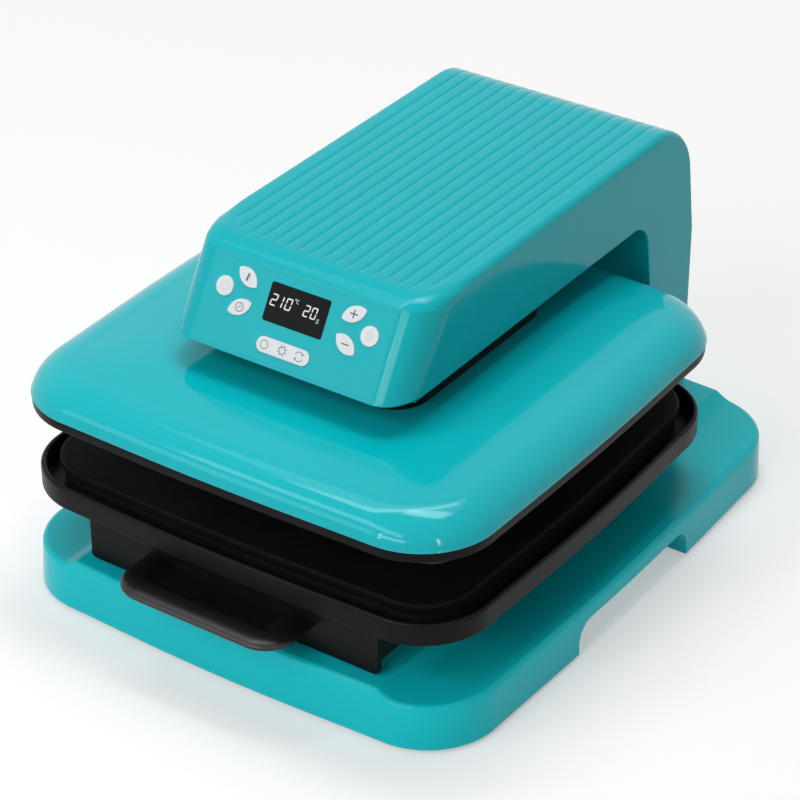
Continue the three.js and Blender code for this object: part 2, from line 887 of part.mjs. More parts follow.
// Control panel: fascia, window, display, board and keys in the panel frame
function leafOutline(x, s, tilt, grow) {
  const half = leafKey.length / 2 + grow;
  const bulge = leafKey.width / 2 + grow;
  const radius = (half * half + bulge * bulge) / (2 * bulge);
  const sweep = Math.asin(half / radius);
  const points = [];
  const steps = 6;
  [0, Math.PI].forEach((flip) => {
    for (let k = 0; k < steps; k += 1) {
      const angle = -sweep + (2 * sweep * k) / steps;
      const point = new THREE.Vector2(radius * Math.sin(angle), bulge - radius * (1 - Math.cos(angle)));
      point.rotateAround(new THREE.Vector2(), Math.PI + flip + THREE.MathUtils.degToRad(tilt));
      points.push(new THREE.Vector2(x + point.x, s + point.y));
    }
  });
  return points.reverse();
}

function capsuleOutline(grow) {
  const half = modeKey.length / 2 + grow;
  const radius = modeKey.height / 2 + grow;
  const end = radius * 0.999;
  return rectangle(modeKey.x - half, modeKey.x + half, modeKey.s - radius, modeKey.s + radius, end);
}

function roundKeyAt(name, side) {
  const x = side * roundKey.x;
  return { name, x, s: roundKey.s, outline: (grow) => circle(x, roundKey.s, roundKey.radius + grow) };
}

function leafKeyAt(name, side, s, tilt) {
  const x = side * leafKey.x;
  return { name, x, s, outline: (grow) => leafOutline(x, s, tilt, grow) };
}

const keys = [
  roundKeyAt('power_key', -1),
  roundKeyAt('start_key', 1),
  leafKeyAt('temperature_key', -1, leafKey.high, -leafKey.tilt),
  leafKeyAt('time_key', -1, leafKey.low, leafKey.tilt),
  leafKeyAt('plus_key', 1, leafKey.high, leafKey.tilt),
  leafKeyAt('minus_key', 1, leafKey.low, -leafKey.tilt),
  { name: 'mode_key', x: modeKey.x, s: modeKey.s, outline: capsuleOutline },
];

function windowOutline(grow) {
  const half = windowHalf + grow;
  return rectangle(-half, half, windowLow - grow, windowHigh + grow, windowCorner + grow);
}

const fascia = prismZ(
  rectangle(-fasciaHalf, fasciaHalf, fasciaLow, fasciaHigh, fasciaCorner),
  -wall,
  0,
  [windowOutline(seatGap), ...keys.map((key) => key.outline(seatGap))],
);
place('control_panel', fascia, tealGloss, panelGroup);
place('display_window', prismZ(windowOutline(0), -wall, 0), blackGlass, panelGroup);

const moduleTop = -wall - seatGap;
const boardTop = moduleTop - moduleDepth - seatGap;
const switchTop = boardTop + keySwitchHeight;
place(
  'display_module',
  prismZ(windowOutline(moduleMargin), moduleTop - moduleDepth, moduleTop),
  darkMetal,
  panelGroup,
);

function controlBoard() {
  const low = fasciaLow + boardMargin;
  const high = fasciaHigh - boardMargin;
  const half = fasciaHalf - boardMargin;
  const boardBottom = boardTop - boardThick;
  const parts = [prismZ(rectangle(-half, half, low, high), boardBottom, boardTop)];
  const side = keySwitchSide / 2;
  keys.forEach(({ x, s }) => {
    const keySwitch = rectangle(x - side, x + side, s - side, s + side);
    parts.push(prismZ(keySwitch, boardTop - boardThick / 2, switchTop));
  });
  [boardSocket, boardChip, boardBuzzer].forEach(({ x, s, width, height, depth }) => {
    const outline = rectangle(x, x + width, low + s, low + s + height);
    parts.push(prismZ(outline, boardBottom - depth, boardTop - boardThick / 2));
  });
  return join(...parts);
}

place('control_board', controlBoard(), boardGreen, panelGroup);

keys.forEach(({ name, outline }) => {
  const flangeTop = -wall - seatGap;
  const flangeBottom = switchTop + keyTravel + seatGap;
  const key = join(
    prismZ(outline(0), flangeBottom, keyProud),
    prismZ(outline(keyFlange), flangeBottom, flangeTop),
  );
  place(name, key, keyWhite, panelGroup);
});

// Drawer: tray, pad, box, front plate, handle and moving rails
const trayTop = trayBottom + trayHeight;

function trayBody() {
  const outer = loft([
    [bowed(tray, trayLip, pressCentreY), trayBottom],
    [bowed(tray, 0, pressCentreY), trayBottom + trayLip],
    [bowed(tray, 0, pressCentreY), trayTop - trayLip],
    [bowed(tray, trayLip * 0.3, pressCentreY), trayTop - trayLip * 0.3],
    [bowed(tray, trayLip, pressCentreY), trayTop],
  ]);
  return cut(outer, prismZ(bowed(tray, trayWall, pressCentreY), trayBottom + trayFloor, trayTop + 1));
}

place('tray_body', trayBody(), blackSatin);

const padBoardBottom = trayBottom + trayFloor + seatGap;
const padBottom = padBoardBottom + padBoardThick + seatGap;
const padTop = padBottom + padThick;
place(
  'pad_board',
  prismZ(bowed(tray, padInset + wall, pressCentreY), padBoardBottom, padBoardBottom + padBoardThick),
  fibreBoard,
);
place(
  'work_pad',
  loft([
    [bowed(tray, padInset, pressCentreY), padBottom],
    [bowed(tray, padInset, pressCentreY), padTop - padEdge],
    [bowed(tray, padInset + padEdge * 0.3, pressCentreY), padTop - padEdge * 0.3],
    [bowed(tray, padInset + padEdge, pressCentreY), padTop],
  ]),
  padBlack,
);

const boxTop = trayBottom - seatGap;
const boxBottom = boxTop - boxHeight;
const boxBackY = pressCentreY + tray.halfDepth - boxSetback;
const frontPlateY = pressCentreY - tray.halfDepth + boxSetback;
const frontPlateHalf = boxHalf + frontPlateMargin;
const boxFrontY = frontPlateY + frontPlateThick + seatGap;
place(
  'drawer_box',
  cut(
    block(-boxHalf, boxHalf, boxFrontY, boxBackY, boxBottom, boxTop),
    block(-boxHalf + wall, boxHalf - wall, boxFrontY - 1, boxBackY + 1, boxBottom - 1, boxTop - wall),
  ),
  blackSatin,
);
place(
  'drawer_front',
  prismY(
    rectangle(-frontPlateHalf, frontPlateHalf, plateauTop + frontPlateGap, boxTop, 2),
    frontPlateY,
    frontPlateY + frontPlateThick,
  ),
  blackSatin,
);

// A scoop: a dished ledge whose front is a thick rounded lip
function drawerHandle() {
  const back = frontPlateY - seatGap;
  const front = back - handleReach;
  const bottom = handleTop - handleHeight;
  const outline = (inset) => roundedPath([
    [-handleHalf + inset, front + inset, handleCorner - inset],
    [handleHalf - inset, front + inset, handleCorner - inset],
    [handleHalf - inset, back, 0],
    [-handleHalf + inset, back, 0],
  ]);
  const rings = [];
  for (let k = 0; k <= 3; k += 1) {
    const angle = (k * Math.PI) / 6;
    const inset = handleEdge * (1 - Math.sin(angle));
    rings.push([outline(inset), bottom + handleEdge * (1 - Math.cos(angle))]);
  }
  for (let k = 1; k <= 3; k += 1) {
    const angle = (k * Math.PI) / 6;
    const inset = handleEdge * (1 - Math.cos(angle));
    rings.push([outline(inset), handleTop - handleEdge * (1 - Math.sin(angle))]);
  }
  const dish = (inset) => roundedPath([
    [-handleHalf + inset, front + inset, handleCorner - handleLip],
    [handleHalf - inset, front + inset, handleCorner - handleLip],
    [handleHalf - inset, back - wall, 0],
    [-handleHalf + inset, back - wall, 0],
  ]);
  const scoop = loft([
    [dish(handleLip + wall), bottom + handleFloor],
    [dish(handleLip), handleTop - handleEdge],
    [dish(handleLip - 1), handleTop + 1],
  ]);
  return cut(loft(rings), scoop);
}

place('drawer_handle', drawerHandle(), blackSatin);

const railTop = boxTop - wall - railTopGap;
const railBottom = railTop - railHeight;
const railFrontY = boxFrontY + railSetback;
const railBackY = railFrontY + drawerTravel + railOverlap;
const railOuterX = boxHalf - wall - seatGap;
const railInnerX = railOuterX - railWidth;
const railSeat = plateauTop + seatGap;

// A channel along the drawer: a web with two flanges, drawn for the right-hand side
function channel(webX0, webX1, flangeX0, flangeX1, low, high) {
  return join(
    block(webX0, webX1, railFrontY, railBackY, low, high),
    block(flangeX0, flangeX1, railFrontY, railBackY, low, low + railSheet),
    block(flangeX0, flangeX1, railFrontY, railBackY, high - railSheet, high),
  );
}

const fixedRail = join(
  channel(railInnerX, railInnerX + railSheet, railInnerX, railOuterX - runGap, railBottom, railTop),
  block(railInnerX, railInnerX + railSheet, railFrontY, railBackY, railSeat, railBottom + railSheet),
  block(railInnerX - railFoot, railInnerX + 1, railFrontY, railBackY, railSeat, railSeat + railSheet),
);
const movingRail = channel(
  railOuterX - railSheet,
  railOuterX,
  railInnerX + 2 * railSheet,
  railOuterX,
  railBottom + railSheet + runGap,
  railTop - railSheet - runGap,
);
sides.forEach(([side, sideName]) => {
  place(`rail_fixed_${sideName}`, mirrored(fixedRail, side), zinc);
  place(`rail_moving_${sideName}`, mirrored(movingRail, side), zinc);
});

// Platen: cover, bezel, heating plate, element, insulation and frame
const coverEdgeSteps = 4;
const shoulderCorner = cover.corner - coverShoulderInset;
const coverTop = coverBottom + coverShoulderRise + coverCrown;

function coverDome(inset) {
  const rings = [];
  const leastCorner = shoulderCorner - inset;
  const ringAt = (distance, z) => rings.push([bowed(cover, distance, pressCentreY, leastCorner), z]);
  if (inset) {
    ringAt(inset, coverBottom - 1);
  }
  for (let k = 0; k <= coverEdgeSteps; k += 1) {
    const angle = (k * Math.PI) / 2 / coverEdgeSteps;
    const across = (coverShoulderInset - inset) * (1 - Math.cos(angle));
    ringAt(inset + across, coverBottom + (coverShoulderRise - inset) * Math.sin(angle));
  }
  const crownSteps = 2;
  for (let k = 1; k <= crownSteps; k += 1) {
    const share = k / crownSteps;
    const distance = coverShoulderInset + (coverCrownInset - coverShoulderInset) * share;
    ringAt(distance, coverBottom + coverShoulderRise - inset + coverCrown * (1 - (1 - share) ** 2));
  }
  return loft(rings);
}

place(
  'platen_cover',
  cut(coverDome(0), coverDome(wall), prismZ(neckOutline(-2 * neckWall), coverBottom, coverTop + wall)),
  tealGloss,
);

function plateOutline(inset) {
  const halfWidth = cover.halfWidth - bezelSide - inset;
  const halfDepth = cover.halfDepth - bezelEnd - inset;
  return rectangle(
    -halfWidth,
    halfWidth,
    pressCentreY - halfDepth,
    pressCentreY + halfDepth,
    Math.max(plateCorner - inset, 1),
  );
}

const bezelTop = coverBottom - seatGap;
const bezelBottom = coverBottom - bezelHeight;
place(
  'platen_bezel',
  cut(
    loft([
      [bowed(cover, bezelInset + bezelEdge, pressCentreY), bezelBottom],
      [bowed(cover, bezelInset, pressCentreY), bezelBottom + bezelEdge],
      [bowed(cover, bezelInset, pressCentreY), bezelTop],
    ]),
    prismZ(plateOutline(-seatGap), bezelBottom - 1, bezelTop + 1),
  ),
  blackSatin,
);

const plateBottom = bezelBottom - plateProud;
const plateTop = plateBottom + plateThick;
place('heating_plate', prismZ(plateOutline(0), plateBottom, plateTop), zinc);

// The element runs to and fro over the plate in one tube
function heatingElement() {
  const half = cover.halfWidth - bezelSide - elementMargin;
  const pitch = (2 * half) / (elementRuns - 1);
  const bend = pitch / 2;
  const run = cover.halfDepth - bezelEnd - elementMargin - bend;
  const z = plateTop + seatGap + elementRadius;
  const path = new THREE.CurvePath();
  for (let k = 0; k < elementRuns; k += 1) {
    const x = -half + k * pitch;
    const up = k % 2 === 0 ? 1 : -1;
    path.add(new THREE.LineCurve3(
      new THREE.Vector3(x, pressCentreY - up * run, z),
      new THREE.Vector3(x, pressCentreY + up * run, z),
    ));
    if (k + 1 < elementRuns) {
      const arc = new THREE.CatmullRomCurve3([0, 1, 2, 3, 4].map((quarter) => {
        const angle = Math.PI - (quarter * Math.PI) / 4;
        return new THREE.Vector3(
          x + bend + bend * Math.cos(angle),
          pressCentreY + up * (run + bend * Math.sin(angle)),
          z,
        );
      }));
      path.add(arc);
    }
  }
  const section = new THREE.Shape(circle(0, 0, elementRadius, 6));
  return new THREE.ExtrudeGeometry(section, { extrudePath: path, steps: 52, bevelEnabled: false });
}

place('heating_element', heatingElement(), steel);

const insulationBottom = plateTop + 2 * seatGap + 2 * elementRadius;
const insulationTop = insulationBottom + insulationThick;
place('insulation_board', prismZ(plateOutline(stackInset), insulationBottom, insulationTop), mica);

const platenFrameTop = insulationTop + seatGap + platenFrameThick;
place('platen_frame', prismZ(plateOutline(2 * stackInset), insulationTop + seatGap, platenFrameTop), steel);

const sensorTop = insulationBottom - seatGap;
place(
  'temperature_sensor',
  rod(0, pressCentreY + sensorOffset, sensorRadius, plateTop + seatGap, sensorTop, 16),
  zinc,
);
place(
  'thermal_fuse',
  block(
    -fuseLength / 2,
    fuseLength / 2,
    pressCentreY - fuseOffset - fuseWidth / 2,
    pressCentreY - fuseOffset + fuseWidth / 2,
    plateTop + seatGap,
    sensorTop,
  ),
  mica,
);

// Lift neck on the cover; its top is sloped to clear the control board
const neckBottom = coverTop + seatGap;

function neckShroud() {
  const reach = 2 * armHalf;
  const ahead = (depth) => onPanel(block(-reach, reach, -reach, reach, -depth, reach));
  const neckTop = beamBottom - neckBeamGap;
  const outer = cut(prismZ(neckOutline(0), neckBottom, neckTop), ahead(neckPanelClear));
  const bore = prismZ(neckOutline(-neckWall), neckBottom - 1, neckTop + 1);
  const inner = cut(bore, ahead(neckPanelClear + neckWall));
  return cut(outer, inner);
}

place('neck_shroud', neckShroud(), blackSatin);

const screwBottom = platenFrameTop + screwFloorGap;

// Carriage: two cheeks on the platen frame and a bridge that holds nut and bushes
const bushOuter = rodRadius + seatGap + bushWall;

function liftCarriage() {
  const front = pressCentreY - carriageHalfDepth;
  const back = pressCentreY + carriageHalfDepth;
  const bottom = platenFrameTop + seatGap;
  const bridgeBottom = carriageTop - carriageBridge;
  const parts = [block(-carriageHalf, carriageHalf, front, back, bridgeBottom, carriageTop)];
  sides.forEach(([side]) => {
    const x0 = side > 0 ? carriageHalf - carriageSheet : -carriageHalf;
    parts.push(block(x0, x0 + carriageSheet, front, back, bottom, carriageTop));
  });
  const holes = [rod(0, pressCentreY, screwRadius + slotGap, bottom, carriageTop + 1)];
  sides.forEach(([side]) => {
    holes.push(rod(side * rodX, pressCentreY, bushOuter + seatGap, bottom, carriageTop + 1));
  });
  return cut(join(...parts), ...holes);
}

place('lift_carriage', liftCarriage(), steel);

const nutBottom = carriageTop + seatGap;
place(
  'drive_nut',
  turned(0, pressCentreY, [
    [screwRadius + seatGap, nutBottom],
    [nutFlange, nutBottom],
    [nutFlange, nutBottom + nutFlangeThick],
    [nutRadius, nutBottom + nutFlangeThick],
    [nutRadius, nutBottom + nutHeight],
    [screwRadius + seatGap, nutBottom + nutHeight],
  ]),
  brass,
);

sides.forEach(([side, sideName]) => {
  const x = side * rodX;
  const flangeBottom = carriageTop + seatGap;
  const flangeTop = flangeBottom + bushFlangeThick;
  place(
    `bush_${sideName}`,
    turned(x, pressCentreY, [
      [rodRadius + seatGap, flangeTop - bushLength],
      [bushOuter, flangeTop - bushLength],
      [bushOuter, flangeBottom],
      [bushFlange, flangeBottom],
      [bushFlange, flangeTop],
      [rodRadius + seatGap, flangeTop],
    ]),
    brass,
  );
  place(`guide_rod_${sideName}`, rod(x, pressCentreY, rodRadius, screwBottom, beamBottom - seatGap), zinc);
});

// Lead screw, its bearing, the belt drive and the motor
const bearingTop = beamTop + seatGap + bearingFlangeThick;
const pulleyBottom = bearingTop + runGap;
const pulleyTop = pulleyBottom + pulleyHeight;
place(
  'screw_bearing',
  turned(0, pressCentreY, [
    [screwRadius + seatGap, beamBottom],
    [bearingRadius, beamBottom],
    [bearingRadius, beamTop + seatGap],
    [bearingFlange, beamTop + seatGap],
    [bearingFlange, bearingTop],
    [screwRadius + seatGap, bearingTop],
  ]),
  zinc,
);
place('lead_screw', rod(0, pressCentreY, screwRadius, screwBottom, pulleyTop), zinc);
place(
  'screw_pulley',
  prismZ(
    circle(0, pressCentreY, screwPulleyRadius, 32),
    pulleyBottom,
    pulleyTop,
    [circle(0, pressCentreY, screwRadius + seatGap)],
  ),
  zinc,
);

const motorTop = beamBottom - seatGap;
place(
  'drive_motor',
  cut(
    rod(0, motorY, motorRadius, motorTop - motorLength, motorTop, 28),
    rod(0, motorY, motorShaftRadius + seatGap, motorTop - motorShaftDepth - seatGap, motorTop + 1, 16),
  ),
  darkMetal,
);
place(
  'motor_pulley',
  join(
    rod(0, motorY, motorPulleyRadius, pulleyBottom, pulleyTop),
    rod(0, motorY, motorShaftRadius, motorTop - motorShaftDepth, pulleyTop, 16),
  ),
  zinc,
);

// An endless belt round two pulleys on the Y axis, at a distance from their rims
function beltLoop(distance) {
  const small = motorPulleyRadius + distance;
  const large = screwPulleyRadius + distance;
  const lean = Math.asin((large - small) / (motorY - pressCentreY));
  const points = [];
  const arc = (y, radius, from, to, steps) => {
    for (let k = 0; k <= steps; k += 1) {
      const angle = from + ((to - from) * k) / steps;
      points.push(new THREE.Vector2(radius * Math.cos(angle), y + radius * Math.sin(angle)));
    }
  };
  arc(motorY, small, lean, Math.PI - lean, 10);
  arc(pressCentreY, large, Math.PI - lean, 2 * Math.PI + lean, 16);
  return points;
}

const beltBottom = pulleyBottom + (pulleyHeight - beltWidth) / 2;
place(
  'drive_belt',
  prismZ(beltLoop(seatGap + beltThick), beltBottom, beltBottom + beltWidth, [beltLoop(seatGap)]),
  blackRubber,
);

// Switch that stops the lift at its top
function limitSwitch() {
  const top = beamBottom - seatGap;
  const contact = carriageTop + seatGap;
  const half = limitSwitchWidth / 2;
  const y0 = pressCentreY - carriageHalfDepth + limitSwitchSetback;
  const y1 = y0 + limitSwitchLength;
  const body = block(limitSwitchX - half, limitSwitchX + half, y0, y1, contact + limitPlunger, top);
  const plunger = rod(limitSwitchX, (y0 + y1) / 2, limitPlunger / 2, contact, top - 1, 12);
  return join(body, plunger);
}

place('limit_switch', limitSwitch(), blackSatin);

// The part stands on its feet, centred on its overall length
const frontReach = -(frontPlateY - seatGap - handleReach);
const backReach = Math.max(base.halfDepth + base.bow, columnBackY + seatGap + inletFlangeThick);
press.position.set(0, (frontReach - backReach) / 2, footHeight);

const part = new THREE.Group();
part.add(press);
export default part;
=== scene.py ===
import math

import bmesh
import bpy
import numpy as np
from mathutils import Matrix, Vector


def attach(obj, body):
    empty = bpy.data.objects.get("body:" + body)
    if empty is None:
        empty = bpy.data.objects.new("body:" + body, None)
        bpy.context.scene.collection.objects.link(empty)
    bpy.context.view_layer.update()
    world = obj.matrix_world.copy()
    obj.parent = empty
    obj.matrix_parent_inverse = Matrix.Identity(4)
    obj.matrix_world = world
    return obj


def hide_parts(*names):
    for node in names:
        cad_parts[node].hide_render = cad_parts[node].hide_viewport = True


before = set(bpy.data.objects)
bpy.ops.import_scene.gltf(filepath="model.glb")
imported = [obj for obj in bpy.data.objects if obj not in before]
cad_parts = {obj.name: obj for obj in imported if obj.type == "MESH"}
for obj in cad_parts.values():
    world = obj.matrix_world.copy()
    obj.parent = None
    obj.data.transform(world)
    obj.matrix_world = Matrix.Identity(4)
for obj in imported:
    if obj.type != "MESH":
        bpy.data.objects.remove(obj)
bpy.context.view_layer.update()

# Sizes are in millimetres in the drawing's own frame: z 0 is the underside of the base.
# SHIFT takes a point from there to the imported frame.
MM = 0.001
SHIFT = np.array([0.0, 15.95, 3.0])
QUARTER = math.pi / 2

# Plan forms: half width, half depth, corner radius, and how far the sides bow outwards
BASE = dict(w=212.6, d=259.4, c=63.4, bow=4.6)
TRAY = dict(w=205.9, d=205.2, c=59.7, bow=3.7)
COVER = dict(w=209.0, d=210.4, c=65.0, bow=2.6)
PRESS_Y = -52.3         # the middle of the tray, the pad and the cover
DECK = 39.3             # top of the base's side decks
PLATEAU = 45.5          # top of the base's middle
WALL = 3.0              # wall of the moulded shells
FIT = 0.3               # gap round a part that sits in a shell's opening
ARM_HALF = 109.3
ARM_TOP = 301.5
ARM_UNDER = 230.4
COLUMN_FRONT = 192.0
COLUMN_BACK = 262.0
KNEE_FRONT = 165.0      # above its knees the column leans forwards
KNEE_BACK = 191.0
LEAN = 0.145
PANEL_FOOT = -177.1
PANEL_ANGLE = math.radians(59.1)
PANEL_RUN = math.cos(PANEL_ANGLE) / math.sin(PANEL_ANGLE)
PANEL_SIDE = 25.3       # reach of the rounding beside the panel
RIB_PITCH = 11.5

# -------------------- materials
WORN_RADIUS = 0.0012    # metres
GRAIN_DEPTH = 0.0004
COAT_ROUGHNESS = 0.1


def new_material(name):
    mat = bpy.data.materials.new(name)
    mat.use_nodes = True
    nodes = mat.node_tree.nodes
    return mat, nodes, mat.node_tree.links, nodes["Principled BSDF"]


def noise(nodes, links, coords, scale, detail, rough=0.5):
    node = nodes.new("ShaderNodeTexNoise")
    node.inputs["Scale"].default_value = scale
    node.inputs["Detail"].default_value = detail
    node.inputs["Roughness"].default_value = rough
    links.new(coords, node.inputs["Vector"])
    return node.outputs["Fac"]


def remap(nodes, links, value, lo, hi, out_lo, out_hi):
    node = nodes.new("ShaderNodeMapRange")
    node.inputs["From Min"].default_value = lo
    node.inputs["From Max"].default_value = hi
    node.inputs["To Min"].default_value = out_lo
    node.inputs["To Max"].default_value = out_hi
    links.new(value, node.inputs["Value"])
    return node.outputs["Result"]


def mix_colour(nodes, links, fac, a, b):
    """Mix of two colours, each a tuple or a socket."""
    node = nodes.new("ShaderNodeMix")
    node.data_type = "RGBA"
    links.new(fac, node.inputs["Factor"])
    for socket, value in ((node.inputs[6], a), (node.inputs[7], b)):
        if isinstance(value, tuple):
            socket.default_value = (*value, 1.0)
        else:
            links.new(value, socket)
    return node.outputs[2]


def maths(nodes, links, operation, a, b):
    node = nodes.new("ShaderNodeMath")
    node.operation = operation
    links.new(a, node.inputs[0])
    links.new(b, node.inputs[1])
    return node.outputs[0]


def surface(name, colour, variation, rough, grain, bump, cloud, edge=None,
            stretch=(1.0, 1.0, 1.0), metallic=0.0, spec=0.5, coat=0.0, tint=None):
    """Moulded or machined surface: cloudy colour, uneven gloss, fine grain, paler worn edges.

    rough is the range of the gloss, grain and cloud are scales, bump is the grain's strength,
    and edge is the colour of the worn edges with its share.
    """
    mat, nodes, links, bsdf = new_material(name)
    mapping = nodes.new("ShaderNodeMapping")
    mapping.inputs["Scale"].default_value = stretch
    links.new(nodes.new("ShaderNodeTexCoord").outputs["Object"], mapping.inputs["Vector"])
    vector = mapping.outputs["Vector"]
    base = np.array(colour)
    low = tuple(np.clip(base * (1 - variation), 0, 1))
    high = tuple(np.clip(base * (1 + variation) + variation * 0.01, 0, 1))
    clouds = noise(nodes, links, vector, cloud, 4.0, 0.6)
    tone = mix_colour(nodes, links, remap(nodes, links, clouds, 0.15, 0.85, 0.0, 1.0), low, high)
    if edge is not None:
        pale, amount = edge
        round_off = nodes.new("ShaderNodeBevel")
        round_off.samples = 4
        round_off.inputs["Radius"].default_value = WORN_RADIUS
        geometry = nodes.new("ShaderNodeNewGeometry")
        facing = nodes.new("ShaderNodeVectorMath")
        facing.operation = "DOT_PRODUCT"
        links.new(round_off.outputs["Normal"], facing.inputs[0])
        links.new(geometry.outputs["Normal"], facing.inputs[1])
        worn = remap(nodes, links, facing.outputs["Value"], 0.99, 0.85, 0.0, amount)
        tone = mix_colour(nodes, links, worn, tone, pale)
    links.new(tone, bsdf.inputs["Base Color"])
    smudge = noise(nodes, links, vector, cloud * 3.1, 5.0, 0.65)
    links.new(remap(nodes, links, smudge, 0.2, 0.8, *rough), bsdf.inputs["Roughness"])
    bumps = nodes.new("ShaderNodeBump")
    bumps.inputs["Strength"].default_value = bump
    bumps.inputs["Distance"].default_value = GRAIN_DEPTH
    links.new(noise(nodes, links, vector, grain, 2.0), bumps.inputs["Height"])
    links.new(bumps.outputs["Normal"], bsdf.inputs["Normal"])
    bsdf.inputs["Metallic"].default_value = metallic
    bsdf.inputs["Specular IOR Level"].default_value = spec
    bsdf.inputs["Coat Weight"].default_value = coat
    bsdf.inputs["Coat Roughness"].default_value = COAT_ROUGHNESS
    if tint is not None:
        bsdf.inputs["Specular Tint"].default_value = (*tint, 1.0)
    return mat


def glow(name, colour, strength):
    """Lit figures of a display, a little uneven."""
    mat, nodes, links, bsdf = new_material(name)
    coords = nodes.new("ShaderNodeTexCoord").outputs["Object"]
    grain = noise(nodes, links, coords, 2600.0, 2.0)
    tone = mix_colour(nodes, links, grain, tuple(0.9 * np.array(colour)), colour)
    links.new(tone, bsdf.inputs["Emission Color"])
    bsdf.inputs["Emission Strength"].default_value = strength
    bsdf.inputs["Base Color"].default_value = (0.02, 0.02, 0.02, 1.0)
    bsdf.inputs["Roughness"].default_value = 0.4
    return mat


TEAL = (0.002, 0.400, 0.450)
TEAL_TINT = (0.8, 0.97, 1.0)
BLACK = (0.0035, 0.0036, 0.0038)
BLACK_WORN = (0.014, 0.014, 0.015)

# Each row: name, colour, variation, rough, grain, bump, cloud
teal = surface("teal_gloss", TEAL, 0.03, (0.07, 0.12), 1800.0, 0.004, 7.0,
               edge=((0.03, 0.50, 0.55), 0.3), spec=0.16, tint=TEAL_TINT)
# The cover is the same teal plastic as the arm. Its colour and its edge colour are painted about 8 %
# lighter: painted light, standing in for light that the arm keeps off the cover.
teal_cover_painted_light = surface("teal_gloss_cover_painted_light", (0.002, 0.435, 0.488), 0.03, (0.07, 0.12), 1800.0, 0.004, 7.0,
                     edge=((0.04, 0.54, 0.59), 0.3), spec=0.26, tint=TEAL_TINT)
# The base is the same teal plastic as the arm. Its colour and its edge colour are painted about a third
# lighter: painted light, standing in for side light and floor bounce that the lamps give the base too
# little of.
teal_base_painted_light = surface("teal_gloss_base_painted_light", (0.004, 0.530, 0.590), 0.03, (0.10, 0.16), 1800.0, 0.006, 7.0,
                    edge=((0.05, 0.62, 0.67), 0.3), spec=0.16, tint=TEAL_TINT)
teal_matt = surface("teal_panel", TEAL, 0.03, (0.12, 0.18), 1800.0, 0.008, 9.0,
                    spec=0.16, tint=TEAL_TINT)
black = surface("black_satin", BLACK, 0.2, (0.30, 0.40), 1500.0, 0.06, 11.0,
                edge=(BLACK_WORN, 0.5), spec=0.10)
black_smooth = surface("black_smooth", BLACK, 0.2, (0.27, 0.33), 1500.0, 0.03, 11.0,
                       edge=(BLACK_WORN, 0.4), spec=0.45)
black_under = surface("black_matt", (0.003, 0.003, 0.0033), 0.2, (0.5, 0.62), 1300.0, 0.10, 11.0,
                      spec=0.09)
metal_black = surface("black_metal", (0.010, 0.010, 0.011), 0.2, (0.3, 0.42), 1100.0, 0.10, 14.0,
                      edge=((0.12, 0.12, 0.12), 0.3), spec=0.45)
rubber = surface("foot_rubber", (0.006, 0.010, 0.011), 0.25, (0.78, 0.9), 1600.0, 0.25, 30.0, spec=0.25)
pad_rubber = surface("pad_foam", (0.0030, 0.0030, 0.0032), 0.25, (0.55, 0.7), 1900.0, 0.30, 22.0,
                     spec=0.06)
steel = surface("steel_sheet", (0.36, 0.37, 0.38), 0.12, (0.28, 0.42), 420.0, 0.06, 16.0,
                stretch=(1.0, 0.08, 1.0), metallic=1.0)
zinc = surface("zinc_steel", (0.50, 0.51, 0.52), 0.14, (0.24, 0.38), 380.0, 0.05, 40.0, metallic=1.0)
aluminium = surface("plate_aluminium", (0.20, 0.205, 0.21), 0.08, (0.26, 0.36), 500.0, 0.06, 12.0,
                    stretch=(0.06, 1.0, 1.0), metallic=1.0)
coated = surface("plate_coating", (0.030, 0.030, 0.031), 0.15, (0.34, 0.44), 800.0, 0.08, 14.0,
                 metallic=0.5, spec=0.2)
motor_metal = surface("motor_metal", (0.20, 0.21, 0.22), 0.12, (0.3, 0.45), 500.0, 0.06, 20.0,
                      metallic=0.9)
brass = surface("brass", (0.56, 0.36, 0.12), 0.12, (0.22, 0.36), 500.0, 0.05, 30.0, metallic=1.0)
fibre = surface("fibre_board", (0.006, 0.0055, 0.005), 0.35, (0.7, 0.85), 900.0, 0.35, 60.0, spec=0.12)
mica = surface("mica_board", (0.62, 0.58, 0.46), 0.14, (0.7, 0.85), 700.0, 0.2, 45.0)
circuit = surface("circuit_board", (0.012, 0.10, 0.045), 0.25, (0.4, 0.55), 600.0, 0.12, 120.0, coat=0.2)
belt_rubber = surface("belt_rubber", (0.012, 0.012, 0.013), 0.2, (0.7, 0.85), 900.0, 0.3, 50.0)
glass = surface("display_glass", (0.0050, 0.0056, 0.0060), 0.15, (0.25, 0.32), 300.0, 0.01, 30.0,
                spec=0.06)
key_white = surface("key_white", (0.66, 0.70, 0.72), 0.02, (0.40, 0.50), 1500.0, 0.03, 60.0, spec=0.25)
icon_dark = surface("icon_ink", (0.06, 0.06, 0.065), 0.2, (0.5, 0.6), 1500.0, 0.05, 200.0, spec=0.3)
icon_pale = surface("icon_grey", (0.52, 0.54, 0.54), 0.05, (0.45, 0.55), 1500.0, 0.05, 200.0, spec=0.3)
digit_glow = glow("digit_glow", (0.86, 0.88, 0.90), 0.9)


# -------------------- objects and meshes
def add_object(name, data):
    obj = bpy.data.objects.new(name, data)
    bpy.context.scene.collection.objects.link(obj)
    return obj


def add_mesh(name, verts, faces, matrix=None):
    """A mesh object from points in millimetres of the drawing's frame, or of matrix in it."""
    points = np.asarray(verts, float).reshape(-1, 3)
    if matrix is not None:
        m = np.array(matrix)
        points = points @ m[:3, :3].T + m[:3, 3]
    points = (points + SHIFT) * MM
    mesh = bpy.data.meshes.new(name)
    mesh.from_pydata([tuple(p) for p in points], [], [tuple(int(i) for i in f) for f in faces])
    mesh.update()
    return add_object(name, mesh)


